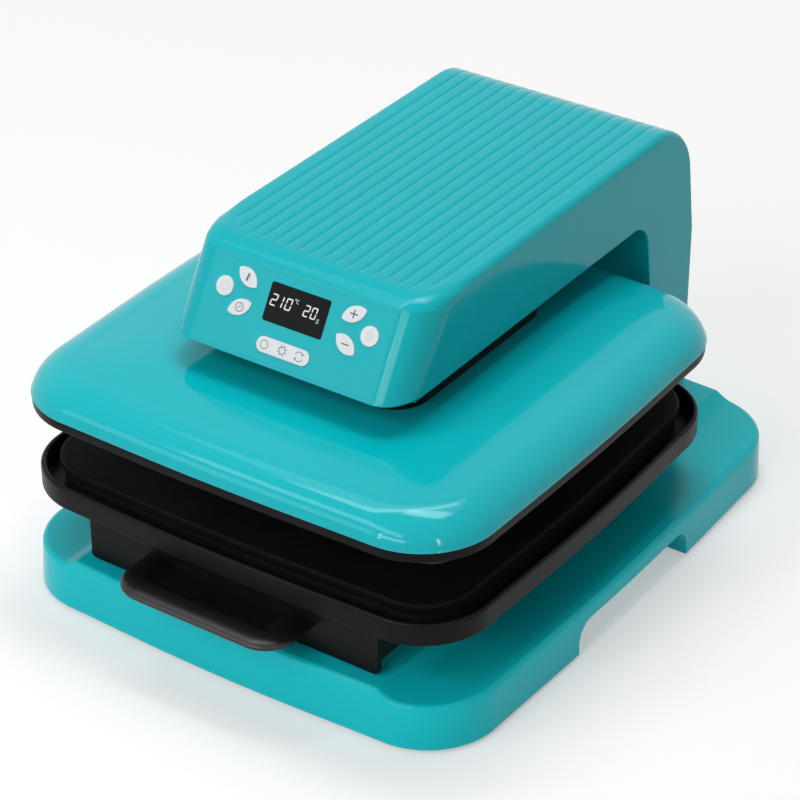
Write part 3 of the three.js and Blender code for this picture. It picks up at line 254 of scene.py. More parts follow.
def settle(obj, merge=0.0):
    """Turns the faces outwards, after merging points that are closer than merge metres."""
    bm = bmesh.new()
    bm.from_mesh(obj.data)
    if merge:
        bmesh.ops.remove_doubles(bm, verts=bm.verts, dist=merge)
    bmesh.ops.recalc_face_normals(bm, faces=bm.faces)
    bm.to_mesh(obj.data)
    bm.free()


def bake(obj):
    """Replaces an object's mesh by the result of its modifiers."""
    graph = bpy.context.evaluated_depsgraph_get()
    mesh = bpy.data.meshes.new_from_object(obj.evaluated_get(graph))
    obj.modifiers.clear()
    old = obj.data
    obj.data = mesh
    bpy.data.meshes.remove(old)


def cut(obj, *tools):
    for tool in tools:
        mod = obj.modifiers.new("cut", "BOOLEAN")
        mod.operation = "DIFFERENCE"
        mod.solver = "EXACT"
        mod.object = tool
    bake(obj)
    for tool in tools:
        bpy.data.objects.remove(tool)


def round_edges(obj, width, angle):
    """Rounds the edges that turn by more than angle, with a modifier."""
    mod = obj.modifiers.new("round", "BEVEL")
    mod.width = width * MM
    mod.segments = 2
    mod.limit_method = "ANGLE"
    mod.angle_limit = math.radians(angle)
    return mod


def dress(obj, body, mat, replaced=(), sharp=35.0):
    """A finished piece: its shading and material, its body, and the nodes that it stands for."""
    obj.data.shade_smooth()
    obj.data.set_sharp_from_angle(angle=math.radians(sharp))
    mod = obj.modifiers.new("normals", "WEIGHTED_NORMAL")
    mod.keep_sharp = True
    mod.weight = 80
    obj.data.materials.clear()
    obj.data.materials.append(mat)
    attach(obj, body)
    if replaced:
        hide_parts(*replaced)


def smoothstep(a, b, x):
    t = np.clip((np.asarray(x, float) - a) / (b - a), 0, 1)
    return t * t * (3 - 2 * t)


def sweep(angle, steps, first=0):
    """Even steps of an angle, up to the whole of it."""
    return [angle * k / steps for k in range(first, steps + 1)]


def bowed(size, inset=0.0, cy=0.0, least=1.0, side=28, corner=14):
    """Outline of a rounded square whose sides bow outwards, counter-clockwise."""
    w = size["w"] - inset
    d = size["d"] - inset
    c = max(size["c"] - inset, least)
    out = []
    for quarter in range(4):
        reach = d if quarter % 2 == 0 else w
        half = (w if quarter % 2 == 0 else d) - c
        turn = quarter * math.pi / 2
        rot = np.array([[math.cos(turn), -math.sin(turn)], [math.sin(turn), math.cos(turn)]])
        for k in range(side):
            t = -1 + 2 * k / side
            out.append(rot @ np.array([t * half, -reach - size["bow"] * (1 - t * t) ** 1.4]))
        for k in range(corner):
            a = -math.pi / 2 + k * math.pi / 2 / corner
            out.append(rot @ np.array([half + c * math.cos(a), c - reach + c * math.sin(a)]))
    return np.array(out) + np.array([0.0, cy])


def press_ring(size, inset, z, least=1.0):
    """Outline of the tray or the cover, drawn in by inset, and its height."""
    return bowed(size, inset, PRESS_Y, least), z


def press_rings(size, *rows):
    return [press_ring(size, inset, z) for inset, z in rows]


def arc_points(before, here, after, r, steps):
    """Arc of radius r that rounds the corner at here: always steps + 1 points."""
    here = np.array(here[:2], float)
    if r < 0.05:
        return [here] * (steps + 1)
    a = here - np.array(before[:2], float)
    b = np.array(after[:2], float) - here
    a /= np.linalg.norm(a)
    b /= np.linalg.norm(b)
    turn = math.atan2(a[0] * b[1] - a[1] * b[0], a @ b)
    reach = r * math.tan(abs(turn) / 2)
    start = here - a * reach
    side = math.copysign(1, turn)
    centre = start + np.array([-a[1], a[0]]) * side * r
    v = start - centre
    return [centre + np.array([v[0] * math.cos(q) - v[1] * math.sin(q),
                               v[0] * math.sin(q) + v[1] * math.cos(q)]) for q in sweep(turn, steps)]


def rounded(corners, steps=8):
    """Polygon with rounded corners: each corner is (x, y, radius)."""
    out = []
    for i, corner in enumerate(corners):
        if corner[2]:
            after = corners[(i + 1) % len(corners)]
            out.extend(arc_points(corners[i - 1], corner, after, corner[2], steps))
        else:
            out.append(np.array(corner[:2], float))
    return np.array(out)


def box_outline(x0, x1, y0, y1, r, steps=8):
    return rounded([(x0, y0, r), (x1, y0, r), (x1, y1, r), (x0, y1, r)], steps)


def circle(x, y, r, n=48):
    return np.array([(x + r * math.cos(2 * math.pi * k / n), y + r * math.sin(2 * math.pi * k / n))
                     for k in range(n)])


def skin_faces(count, total, closed=False, first=0):
    """Faces through total rings of count points, with an end face at each end unless closed."""
    faces = []
    for i in range(total if closed else total - 1):
        a = first + i * count
        b = first + (i + 1) % total * count
        for k in range(count):
            after = (k + 1) % count
            faces.append((a + k, a + after, b + after, b + k))
    if not closed:
        last = first + (total - 1) * count
        faces.append(tuple(reversed(range(first, first + count))))
        faces.append(tuple(range(last, last + count)))
    return faces


def ring_mesh(name, rings, closed=False, matrix=None):
    """Skin through rings of equally many points.

    Each ring is (outline, height), where the height may differ from point to point, or an array
    of points in space.
    """
    stack = []
    for ring in rings:
        if isinstance(ring, tuple):
            outline, z = ring
            ring = np.column_stack([outline, np.broadcast_to(z, len(outline))])
        stack.append(ring)
    obj = add_mesh(name, np.vstack(stack), skin_faces(len(stack[0]), len(stack), closed), matrix)
    settle(obj)
    return obj


def prism(name, outline, z0, z1, matrix=None):
    return ring_mesh(name, [(outline, z0), (outline, z1)], matrix=matrix)


def plate(name, outlines, z0, z1, matrix=None, bevel=0.0):
    """Flat piece with holes: the first outline is the rim, the rest are holes."""
    curve = bpy.data.curves.new(name, "CURVE")
    curve.dimensions = "2D"
    curve.fill_mode = "BOTH"
    for outline in outlines:
        spline = curve.splines.new("POLY")
        spline.points.add(len(outline) - 1)
        for point, (x, y) in zip(spline.points, outline):
            point.co = (x, y, 0.0, 1.0)
        spline.use_cyclic_u = True
    curve.extrude = (z1 - z0) / 2 - bevel
    if bevel:
        curve.bevel_depth = bevel
        curve.bevel_resolution = 2
        curve.offset = -bevel
    temp = add_object(name + "_curve", curve)
    graph = bpy.context.evaluated_depsgraph_get()
    graph.update()
    mesh = bpy.data.meshes.new_from_object(temp.evaluated_get(graph))
    points = np.array([v.co for v in mesh.vertices], float)
    points[:, 2] += (z0 + z1) / 2
    faces = [tuple(p.vertices) for p in mesh.polygons]
    bpy.data.objects.remove(temp)
    bpy.data.meshes.remove(mesh)
    obj = add_mesh(name, points, faces, matrix)
    settle(obj, merge=2e-6)
    return obj


# -------------------- base
BASE_EDGE = 5.0         # rounding of the top edge
FOOT_EDGE = 1.2         # and of the bottom edge
DRAFT = 1.5             # how far the wall leans inwards on its way up
DRAFT_SHARES = (0.35, 0.7)
STEP_IN = 144.5         # the step down to the side decks begins and ends here
STEP_OUT = 161.0
STEP_CUTS = (0, 0.04, 0.08, 0.13, 0.18, 0.24, 0.3, 0.37, 0.45, 0.54, 0.64, 0.76, 0.88, 1)
NOTCH_HALF = 83.5       # the hand notch in each side
NOTCH_TOP = 26.5
NOTCH_RADIUS = 17.5
NOTCH_IN = 217.2 - 28
NOTCH_OUT = 222.0


def step_share(x):
    """How far the deck has dropped below the middle, 0 to 1, at a distance x from the centre."""
    t = np.clip((np.asarray(x, float) - STEP_IN) / (STEP_OUT - STEP_IN), 0, 1)
    return smoothstep(0, 1, t ** 0.62)


def plinth(name, inset, bottom, deck, plateau, edge, foot_edge=0.0):
    """The bowed plinth: a rounded top edge, and side decks below the middle."""
    def outline(draft):
        return bowed(BASE, inset + draft, side=60, corner=18)

    rings = [(outline(foot_edge * (1 - math.sin(a))), bottom + foot_edge * (1 - math.cos(a)))
             for a in (sweep(QUARTER, 4) if foot_edge else [QUARTER])]
    wall = plateau - edge - bottom
    for share in DRAFT_SHARES:
        rings.append((outline(DRAFT * share), bottom + wall * share))
    # The edge is nearly sharp where the column stands close to it
    flat = outline(DRAFT)
    seat = (1 - smoothstep(104.0, 112.0, np.abs(flat[:, 0]))) * (flat[:, 1] > 150)
    round_off = edge * (1 - 0.92 * seat)
    for a in sweep(QUARTER, 8):
        inner = outline(DRAFT + edge * (1 - math.cos(a)))
        rings.append((flat + (inner - flat) * (round_off / edge)[:, None],
                      plateau - round_off + round_off * math.sin(a)))
    obj = ring_mesh(name, rings)
    # Cut into strips along the step, and lower what lies beyond it
    bm = bmesh.new()
    bm.from_mesh(obj.data)
    for side in (-1, 1):
        for share in STEP_CUTS:
            x = side * (STEP_IN + (STEP_OUT - STEP_IN) * share) * MM
            geom = bm.verts[:] + bm.edges[:] + bm.faces[:]
            bmesh.ops.bisect_plane(bm, geom=geom, dist=1e-7, plane_co=(x, 0, 0), plane_no=(1, 0, 0))
    low = (bottom + wall * DRAFT_SHARES[-1] + 0.5 + SHIFT[2]) * MM
    for v in bm.verts:
        if v.co.z > low:
            drop = (plateau - deck) * float(step_share(abs(v.co.x) / MM))
            v.co.z -= drop * MM
    bm.to_mesh(obj.data)
    bm.free()
    settle(obj)
    return obj


def notch(side, grow=0.0):
    """Cutter of the hand notch. Grown by a wall, it keeps the hollow off the notch."""
    half = NOTCH_HALF + grow
    top = NOTCH_TOP + grow
    outline = rounded([(-half, -1, 0), (half, -1, 0), (half, top, NOTCH_RADIUS),
                       (-half, top, NOTCH_RADIUS)], 10)
    return ring_mesh("notch", [np.column_stack([np.full(len(outline), side * x), outline])
                               for x in (NOTCH_IN - grow, NOTCH_OUT)])


base_skin = plinth("base_skin", 0.0, 0.0, DECK, PLATEAU, BASE_EDGE, FOOT_EDGE)
room = plinth("room", WALL, -1.0, DECK - WALL, PLATEAU - WALL, 4.5)
cut(room, notch(-1, WALL), notch(1, WALL))
column_hole = prism("hole", [(-88, 208), (88, 208), (88, 251.5), (-88, 251.5)], 39.5, 48.5)
cut(base_skin, room, notch(-1), notch(1), column_hole)
round_edges(base_skin, 0.8, 50)
bake(base_skin)
# The base's teal holds painted light: it is a lighter copy of the arm's plastic.
dress(base_skin, "frame", teal_base_painted_light, ("base_shell",))

# -------------------- arm and column
TOP_Y = PANEL_FOOT + PANEL_RUN * (ARM_TOP - ARM_UNDER)
THROAT_Y = COLUMN_FRONT - LEAN * (ARM_UNDER - KNEE_FRONT)
CROWN_Y = COLUMN_BACK - LEAN * (ARM_TOP - KNEE_BACK)
BROW_RISE = 6.75        # the sloped brow between the panel and the top
BROW_Z = ARM_TOP - BROW_RISE
BROW_SLOPE = math.radians(32)
FLANK_BROW_RISE = 4.5
FLANK_DROP = 6.0        # the flank's outline lies this far below and behind the middle's
FLANK_BACK = 3.0
FLANK_UNDER = 1.2
CORNER_ALONG = 34.0

# Steps of the arc at each corner of the side outline, and of the line that follows it
ARC_STEPS = [3, 6, 14, 18, 10, 1, 1, 8, 14]
LINE_STEPS = [26, 2, 90, 12, 14, 1, 14, 8, 16]
ROW_STARTS = np.cumsum([0] + [arc + line for arc, line in zip(ARC_STEPS, LINE_STEPS)])
BROW_ROW, TOP_ROW, CROWN_ROW, KNEE_ROW, FOOT_ROW = ROW_STARTS[1:6]
CROWN_STEPS = ARC_STEPS[3]

# Columns of points across the arm: close together over a groove, and wider over a rib
GROOVES = 7             # on each side of the middle one, and one more beyond the middle columns
GROOVE_HALF = 2.2
GROOVE_DEPTH = 0.80
RIB_BULGE = 0.35        # how far a rib's crown stands above its sides
OVER_GROOVE = [-2.2, -1.7, -1.2, -0.8, -0.4, 0.0, 0.4, 0.8, 1.2, 1.7, 2.2]
OVER_RIB = (-3, -1.5, 0, 1.5, 3)
MIDDLE_RIBBED = 83.0    # up to here the columns lie the same in every row
MIDDLE_PLAIN = 60.0
LEVEL_HALF = 102.3      # and here at most the level ones end


def loop(corners):
    """Closed rounded loop with fixed counts: for each corner an arc, then the line to the next."""
    n = len(corners)
    arcs = [arc_points(corners[i - 1], corners[i], corners[(i + 1) % n], corners[i][2], ARC_STEPS[i])
            for i in range(n)]
    out = []
    for i, steps in enumerate(LINE_STEPS):
        out.extend(arcs[i])
        start = arcs[i][-1]
        end = arcs[(i + 1) % n][0]
        out.extend(start + (end - start) * k / steps for k in range(1, steps))
    return np.array(out)


def arm_outlines(i):
    """Outlines seen from the side, at the middle and at the flat flank, drawn in by i."""
    foot = PLATEAU + 0.3 - (6.0 if i else 0.0)
    front = PANEL_FOOT + i / math.sin(PANEL_ANGLE)
    brow = front + PANEL_RUN * (BROW_Z - i - ARM_UNDER)
    middle = [
        (front + PANEL_RUN * i, ARM_UNDER + i, 0.8),
        (brow, BROW_Z - i, 1.6),
        (brow + BROW_RISE / math.tan(BROW_SLOPE), ARM_TOP - i, 42 - i),
        (CROWN_Y - i + LEAN * i, ARM_TOP - i, 54 - i),
        (COLUMN_BACK - i, KNEE_BACK, 60),
        (COLUMN_BACK - i, foot, 0),
        (COLUMN_FRONT + i, foot, 0),
        (COLUMN_FRONT + i, KNEE_FRONT, 40),
        (THROAT_Y + i, ARM_UNDER + i, 24 + i),
    ]
    e = FLANK_UNDER
    along = CORNER_ALONG - i
    top = ARM_TOP - FLANK_DROP
    back = COLUMN_BACK - max(FLANK_BACK, i + 0.5)
    brow = front + along + PANEL_RUN * (top - FLANK_BROW_RISE - ARM_UNDER)
    flank = [
        (front + PANEL_RUN * i + along, ARM_UNDER + i + e, 0.8),
        (brow, top - FLANK_BROW_RISE, 7),
        (brow + FLANK_BROW_RISE / math.tan(BROW_SLOPE), top, 16),
        (CROWN_Y - FLANK_BACK + LEAN * FLANK_DROP, top, 50),
        (back, KNEE_BACK, 57),
        (back, foot, 0),
        (COLUMN_FRONT + i + e, foot, 0),
        (COLUMN_FRONT + i + e, KNEE_FRONT, 40),
        (THROAT_Y + i + e, ARM_UNDER + i + e, 24 + i + e),
    ]
    return loop(middle), loop(flank)


def rounding_widths(profile, inset):
    """How far the flank's rounding reaches across, row by row."""
    panel = PANEL_SIDE - inset
    top = max(6.0 - inset, 1.5)
    back = max(3.0 - inset, 0.8)
    width = np.full(len(profile), FLANK_UNDER)
    for row in range(FOOT_ROW + 1):
        y, z = profile[row]
        if row < BROW_ROW:
            width[row] = panel
        elif row < CROWN_ROW:
            share = float(smoothstep(TOP_Y - 4, TOP_Y + 56, y))
            width[row] = panel + (top - panel) * share
        elif row <= CROWN_ROW + CROWN_STEPS:
            share = (row - CROWN_ROW) / CROWN_STEPS
            width[row] = top + (back + 2.5 - top) * share
        else:
            share = smoothstep(ARM_TOP - 40, KNEE_BACK, z) if z > KNEE_BACK else 1.0
            width[row] = back + 2.5 * (1 - float(share))
    return width


def columns_across(ribs):
    """The middle columns, and the shares of the way from the last of them to the rounding."""
    if not ribs:
        return np.linspace(-MIDDLE_PLAIN, MIDDLE_PLAIN, 9), np.linspace(0.3, 1.0, 3)
    middle = [RIB_PITCH * k + dx for k in range(-GROOVES, GROOVES + 1) for dx in OVER_GROOVE]
    middle += [RIB_PITCH * (k + 0.5) + dx for k in range(-GROOVES, GROOVES) for dx in OVER_RIB]
    last = [RIB_PITCH * (GROOVES + 1) + dx for dx in OVER_GROOVE]
    last = np.array([84.2, 86, 88] + last + [95.5, 97, 99, LEVEL_HALF])
    return np.sort(middle), (last - MIDDLE_RIBBED) / (LEVEL_HALF - MIDDLE_RIBBED)


def rib_depth(xs, y, z):
    """Depth of the grooves between the ribs, at the points xs of the row at y, z."""
    # They begin behind the brow, later towards the flanks, and fade out down the back
    curl = 16 * smoothstep(74, 100, np.abs(xs))
    begin = smoothstep(TOP_Y + 10, TOP_Y + 26, y - curl)
    end = (1 - 0.55 * float(smoothstep(194, 214, y))) * float(smoothstep(ARM_TOP - 46, ARM_TOP - 22, z))
    off = np.abs((xs + RIB_PITCH / 2) % RIB_PITCH - RIB_PITCH / 2)
    off = np.where(np.abs(xs) > RIB_PITCH * (GROOVES + 1.5), RIB_PITCH / 2, off)
    bulge = RIB_BULGE * (1 - off / (RIB_PITCH / 2)) ** 2
    line = GROOVE_DEPTH * np.clip(1 - off / GROOVE_HALF, 0, 1) ** 1.3
    return (bulge + line) * begin * end


def arm_solid(name, inset, ribs):
    """The housing: a loop seen from the side, swept across to a rounding at each flank."""
    p0, p1 = arm_outlines(inset)
    width = rounding_widths(p0, inset)
    half = ARM_HALF - inset
    middle = MIDDLE_RIBBED if ribs else MIDDLE_PLAIN
    middle_xs, last_shares = columns_across(ribs)
    tangent = np.roll(p0, -1, axis=0) - np.roll(p0, 1, axis=0)
    tangent /= np.linalg.norm(tangent, axis=1)[:, None]
    normal = np.column_stack([-tangent[:, 1], tangent[:, 0]])
    rows = []
    for row in range(len(p0)):
        reach = half - width[row]
        span = min(reach, LEVEL_HALF) - middle
        right = [(middle + span * share, 0.0) for share in last_shares]
        right += [(reach + width[row] * math.sin(a), 1 - math.cos(a))
                  for a in sweep(QUARTER, 12 if ribs else 6, 1)]
        xs = np.array([-x for x, _ in reversed(right)] + list(middle_xs) + [x for x, _ in right])
        shares = np.array([s for _, s in reversed(right)] + [0.0] * len(middle_xs)
                          + [s for _, s in right])
        yz = p0[row] + (p1[row] - p0[row]) * shares[:, None]
        if ribs and TOP_ROW <= row <= KNEE_ROW:
            yz = yz - normal[row] * rib_depth(xs, *p0[row])[:, None]
        rows.append(np.column_stack([xs, yz]))
    count = len(rows[0])
    total = len(rows)
    faces = []
    for row in range(total):
        a = row * count
        b = (row + 1) % total * count
        faces += [(a + k, a + k + 1, b + k + 1, b + k) for k in range(count - 1)]
    faces.append(tuple(row * count for row in range(total)))
    faces.append(tuple(row * count + count - 1 for row in reversed(range(total))))
    obj = add_mesh(name, np.vstack(rows), faces)
    settle(obj, merge=1e-6)
    return obj


# Panel frame: X across, Y up the slope, Z out of the panel
PANEL = Matrix.Translation((0, PANEL_FOOT, ARM_UNDER)) @ Matrix.Rotation(PANEL_ANGLE, 4, "X")
# Upright frame: X across, Y up, Z towards the front
UPRIGHT = Matrix(((1, 0, 0, 0), (0, 0, -1, 0), (0, 1, 0, 0), (0, 0, 0, 1)))
FASCIA_HALF = ARM_HALF - PANEL_SIDE - 0.8


def fascia_outline(grow=0.0):
    return box_outline(-FASCIA_HALF - grow, FASCIA_HALF + grow, 3.5 - grow, 71.5 + grow, 4 + grow)


def undercover_outline(grow=0.0):
    return box_outline(-103.3 - grow, 103.3 + grow, -168.1 - grow, 138 + grow, 22.3 + grow, 14)


def rear_outline(grow=0.0):
    return box_outline(-92 - grow, 92 + grow, 60 - grow, 178 + grow, 6 + grow)


arm_skin = arm_solid("arm_skin", 0.0, True)
hollow = arm_solid("hollow", WALL, False)
fascia_cutter = prism("fascia_cutter", fascia_outline(0.1), -6, 6, PANEL)
under_cutter = prism("under_cutter", undercover_outline(FIT), ARM_UNDER - 3, ARM_UNDER + 6)
rear_cutter = prism("rear_cutter", rear_outline(FIT), -(COLUMN_BACK + 3), -(COLUMN_BACK - 6), UPRIGHT)
cut(arm_skin, hollow, fascia_cutter, under_cutter, rear_cutter)
dress(arm_skin, "frame", teal, ("arm_housing",), sharp=38)

# -------------------- panel pieces
LEAF_LENGTH = 22.3
LEAF_BREADTH = 12.4
ROUND_X = 67            # the round keys, left and right
ROUND_Y = 48.7
LEAF_X = 49             # the leaf keys
LEAF_HIGH = 60.5
LEAF_LOW = 36.9
MODE_X = -1.2
MODE_Y = 16.5
CAP_TOP = 0.80
INK = 0.04              # thickness of what is printed


def leaf(x, y, tilt, grow):
    """Outline of two equal arcs, its length tilted by some degrees."""
    half = LEAF_LENGTH / 2 + grow
    bulge = LEAF_BREADTH / 2 + grow
    r = (half * half + bulge * bulge) / (2 * bulge)
    reach = math.asin(half / r)
    steps = 18
    points = []
    for flip in (0.0, math.pi):
        turn = flip + math.radians(tilt)
        for k in range(steps):
            a = -reach + 2 * reach * k / steps
            px, py = r * math.sin(a), bulge - r * (1 - math.cos(a))
            points.append((x + px * math.cos(turn) - py * math.sin(turn),
                           y + px * math.sin(turn) + py * math.cos(turn)))
    return np.array(points)


def capsule(x, y, half, r):
    """Outline of a level bar with half-round ends."""
    ends = ((x + half - r, -QUARTER), (x - half + r, QUARTER))
    return np.array([(cx + r * math.cos(a + turn), y + r * math.sin(a + turn))
                     for cx, turn in ends for a in sweep(math.pi, 20)])


def window(grow=0.0):
    return box_outline(-27.3 - grow, 27.3 + grow, 33.7 - grow, 64 + grow, 1.8 + grow, 6)


# The outline of each key, grown by g
KEYS = {
    "power_key": lambda g: circle(-ROUND_X, ROUND_Y, 7.8 + g),
    "start_key": lambda g: circle(ROUND_X, ROUND_Y, 7.8 + g),
    "temperature_key": lambda g: leaf(-LEAF_X, LEAF_HIGH, -30, g),
    "time_key": lambda g: leaf(-LEAF_X, LEAF_LOW, 30, g),
    "plus_key": lambda g: leaf(LEAF_X, LEAF_HIGH, 30, g),
    "minus_key": lambda g: leaf(LEAF_X, LEAF_LOW, -30, g),
    "mode_key": lambda g: capsule(MODE_X, MODE_Y, 24.3 + g, 6.15 + g),
}

holes = [window(0.1)] + [shape(0.18) for shape in KEYS.values()]
fascia = plate("panel_fascia", [fascia_outline()] + holes, -WALL, 0.0, PANEL)
dress(fascia, "frame", teal_matt, ("control_panel",))
pane = plate("window_pane", [window()], -WALL, -0.05, PANEL, bevel=0.15)
dress(pane, "frame", glass, ("display_window",))

for key, shape in KEYS.items():
    cap = plate(key + "_cap", [shape(0.0)], -2.6, CAP_TOP, PANEL, bevel=0.35)
    dress(cap, key, key_white, (key,), sharp=50)


def panel_print(name, verts, faces, body, mat):
    obj = add_mesh(name, verts, faces, PANEL)
    settle(obj)
    obj.data.materials.append(mat)
    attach(obj, body)


def ribbon(points, width, closed):
    """The two edges of a stroke of even width along a line of points."""
    pts = np.array(points, float)
    n = len(pts)
    left = []
    right = []
    for i in range(n):
        before = pts[i - 1] if closed or i > 0 else pts[i]
        after = pts[(i + 1) % n] if closed or i < n - 1 else pts[i]
        d = after - before
        d /= np.linalg.norm(d)
        aside = np.array([-d[1], d[0]]) * width / 2
        left.append(pts[i] + aside)
        right.append(pts[i] - aside)
    return left, right


def strokes(name, lines, z, body, mat):
    """Printed lines on the panel, from height z: each is (points, width, closed)."""
    verts = []
    faces = []
    for points, width, closed in lines:
        faces += skin_faces(4, len(points), closed, first=len(verts))
        for a, b in zip(*ribbon(points, width, closed)):
            verts += [(*a, z), (*b, z), (*b, z + INK), (*a, z + INK)]
    panel_print(name, verts, faces, body, mat)


def icon(key, lines, mat=icon_dark):
    strokes(key.replace("_key", "_icon"), lines, CAP_TOP, key, mat)


def bar(x0, y0, x1, y1, width):
    return [(x0, y0), (x1, y1)], width, False


def arc_line(x, y, r, a0, a1, n=20):
    """Points of an arc between two angles in degrees."""
    angles = [math.radians(a0 + (a1 - a0) * k / n) for k in range(n + 1)]
    return [(x + r * math.cos(a), y + r * math.sin(a)) for a in angles]


# Power: a ring with a stroke; start: three upright bars
icon("power_key", [(arc_line(-ROUND_X, ROUND_Y, 3.3, 120, 420), 0.55, False),
                   bar(-ROUND_X, ROUND_Y + 0.5, -ROUND_X, ROUND_Y + 4.3, 0.6)], icon_pale)
icon("start_key", [bar(ROUND_X + dx, ROUND_Y - reach, ROUND_X + dx, ROUND_Y + reach, 0.8)
                   for dx, reach in ((-2.1, 2.7), (0, 3.7), (2.1, 2.7))], icon_pale)
# Thermometer with a scale, clock, plus and minus
icon("temperature_key", [bar(-49.6, 57.4, -48.6, 63.6, 1.5)] +
     [bar(-47.9 + 0.15 * k, 58.6 + 1.3 * k, -46.9 + 0.15 * k, 58.45 + 1.3 * k, 0.35) for k in range(4)])
icon("time_key", [(circle(-LEAF_X, LEAF_LOW, 3.4, 36), 0.6, True),
                  ([(-50.4, 35.6), (-49, 37.2), (-47.6, 38.2)], 0.5, False)])
icon("plus_key", [bar(LEAF_X - 3.4, LEAF_HIGH, LEAF_X + 3.4, LEAF_HIGH, 0.95),
                  bar(LEAF_X, LEAF_HIGH - 3.4, LEAF_X, LEAF_HIGH + 3.4, 0.95)])
icon("minus_key", [bar(LEAF_X - 3.4, LEAF_LOW, LEAF_X + 3.4, LEAF_LOW, 0.95)])

# Mode key: a ring, a sun and a loop of two arrows
RING_X = -18.2
SUN_X = -1.6
LOOP_X = 13.9
mode_lines = [(circle(RING_X, MODE_Y, 3.3, 36), 0.5, True), (circle(SUN_X, MODE_Y, 2.7, 36), 0.5, True)]
for k in range(8):
    a = math.radians(45 * k + 22.5)
    c, s = math.cos(a), math.sin(a)
    mode_lines.append(bar(SUN_X + 3.0 * c, MODE_Y + 3.0 * s, SUN_X + 4.3 * c, MODE_Y + 4.3 * s, 0.55))
for turn in (0, 180):
    arrow = arc_line(LOOP_X, MODE_Y, 3.6, 25 + turn, 165 + turn)
    mode_lines.append((arrow, 0.5, False))
    x, y = arrow[0]
    for swing in (60, 135):
        a = math.radians(25 + turn + swing)
        mode_lines.append(bar(x, y, x + 1.5 * math.cos(a), y + 1.5 * math.sin(a), 0.45))
icon("mode_key", mode_lines)

# Seven-segment figures behind the window: 210 degrees, 20 seconds
LIT_SEGMENTS = {"2": "abged", "1": "bc", "0": "abcdef"}
DIGIT_LEAN = 0.12
DIGIT_Y = 46.1


def digit(figure, x, w, h, t):
    """Outlines of a figure's lit segments, t thick; x is its left edge at the foot."""
    y = DIGIT_Y
    left, right, middle, top = x + t / 2, x + w - t / 2, y + h / 2, y + h
    bars = {
        "a": (x, top - t / 2, x + w, top - t / 2),
        "g": (x, middle, x + w, middle),
        "d": (x, y + t / 2, x + w, y + t / 2),
        "f": (left, middle, left, top),
        "b": (right, middle, right, top),
        "e": (left, y, left, middle),
        "c": (right, y, right, middle),
    }
    out = []
    for segment in LIT_SEGMENTS[figure]:
        x0, y0, x1, y1 = bars[segment]
        level = y0 == y1
        across = y0 if level else x0
        # Each bar is pointed, and ends a little short of the next
        a = (x0 if level else y0) + t * 0.8
        b = (x1 if level else y1) - t * 0.8
        points = [(a - t / 2, across), (a, across - t / 2), (b, across - t / 2),
                  (b + t / 2, across), (b, across + t / 2), (a, across + t / 2)]
        if not level:
            points = [(px, py) for py, px in points]
        out.append([(px + DIGIT_LEAN * (py - y), py) for px, py in points])
    return out


segments = []
for figure, x in (("2", -24.9), ("1", -19.4), ("0", -11.5)):
    segments += digit(figure, x, 5.5, 9.4, 1.0)
for figure, x in (("2", 5.6), ("0", 12.3)):
    segments += digit(figure, x, 4.9, 9.2, 0.95)
verts = []
faces = []
for outline in segments:
    faces += skin_faces(len(outline), 2, first=len(verts))
    verts += [(x, y, z) for z in (-INK, 0.0) for x, y in outline]
panel_print("display_figures", verts, faces, "frame", digit_glow)
# The units: a degree sign with a C, and an s
strokes("display_units", [
    (circle(-3.0, 56.2, 0.55, 14), 0.3, True),
    (arc_line(-0.6, 54.9, 1.35, 60, 300, 14), 0.4, False),
    ([(21.2, 47.0), (20.6, 47.6), (19.6, 47.5), (19.4, 46.6), (20.4, 46.0), (20.9, 45.2), (20.3, 44.5),
      (19.2, 44.6), (18.7, 45.1)], 0.42, False),
], -INK, "frame", digit_glow)

# -------------------- platen
COVER_RIM = 178.2
DOME_IN = 34.0          # the dome's shoulder reaches this far in
DOME_CORNER = 62.9
DOME_RISE = 24.0
DOME_SOFTEN = 9.0       # how much rounder its corners grow on the way
CROWN_IN = 150.0        # the flatter crown reaches on to here
CROWN_RISE = 4.8
PLATE_HALF = 190.5      # the heating plate, 381 mm square
NECK_FOOT = 207.3
NECK_TOP = 276.3
NECK_WALL = 2.5


def dome_rings(inset):
    """Rings of the cover's skin from its rim to its crown."""
    rise = DOME_RISE - inset
    corner_least = DOME_CORNER - DOME_IN - inset + 1.0
    rings = []
    for a in sweep(QUARTER, 18):
        d = inset + (DOME_IN - inset) * (1 - math.cos(a))
        wide = dict(COVER, c=COVER["c"] + DOME_SOFTEN * math.sin(a) ** 0.7)
        rings.append(press_ring(wide, d, COVER_RIM + rise * math.sin(a), corner_least))
    steps = 22
    wide = dict(COVER, c=COVER["c"] + DOME_SOFTEN)
    for k in range(1, steps + 1):
        d = DOME_IN + (CROWN_IN - DOME_IN) * (k / steps)
        reach = min((d - DOME_IN) / 76.0, 1.0)
        z = COVER_RIM + rise + CROWN_RISE * (1 - (1 - reach) ** 2)
        rings.append(press_ring(wide, d, z, corner_least))
    return rings


rim = press_rings(COVER, (0.8, COVER_RIM), (0.25, 178.4), (0.0, 178.9))
dome = [(outline, max(z, 179.0)) for outline, z in dome_rings(0.0)[1:]]
cover = ring_mesh("cover_dome", rim + dome)
cover_room = ring_mesh("cover_room", [press_ring(COVER, WALL, 177.0)] + dome_rings(WALL))
neck_hole = prism("neck_hole", box_outline(-89.5, 89.5, -141, 55, 25, 12), 195, 215)
cut(cover, cover_room, neck_hole)
# The cover's teal holds painted light: it is a lighter copy of the arm's plastic.
dress(cover, "platen", teal_cover_painted_light, ("platen_cover",), sharp=40)


def plate_outline(grow=0.0):
    """Rounded square plan of the heating plate."""
    w = PLATE_HALF + grow
    return box_outline(-w, w, PRESS_Y - w, PRESS_Y + w, 24 + grow, 14)


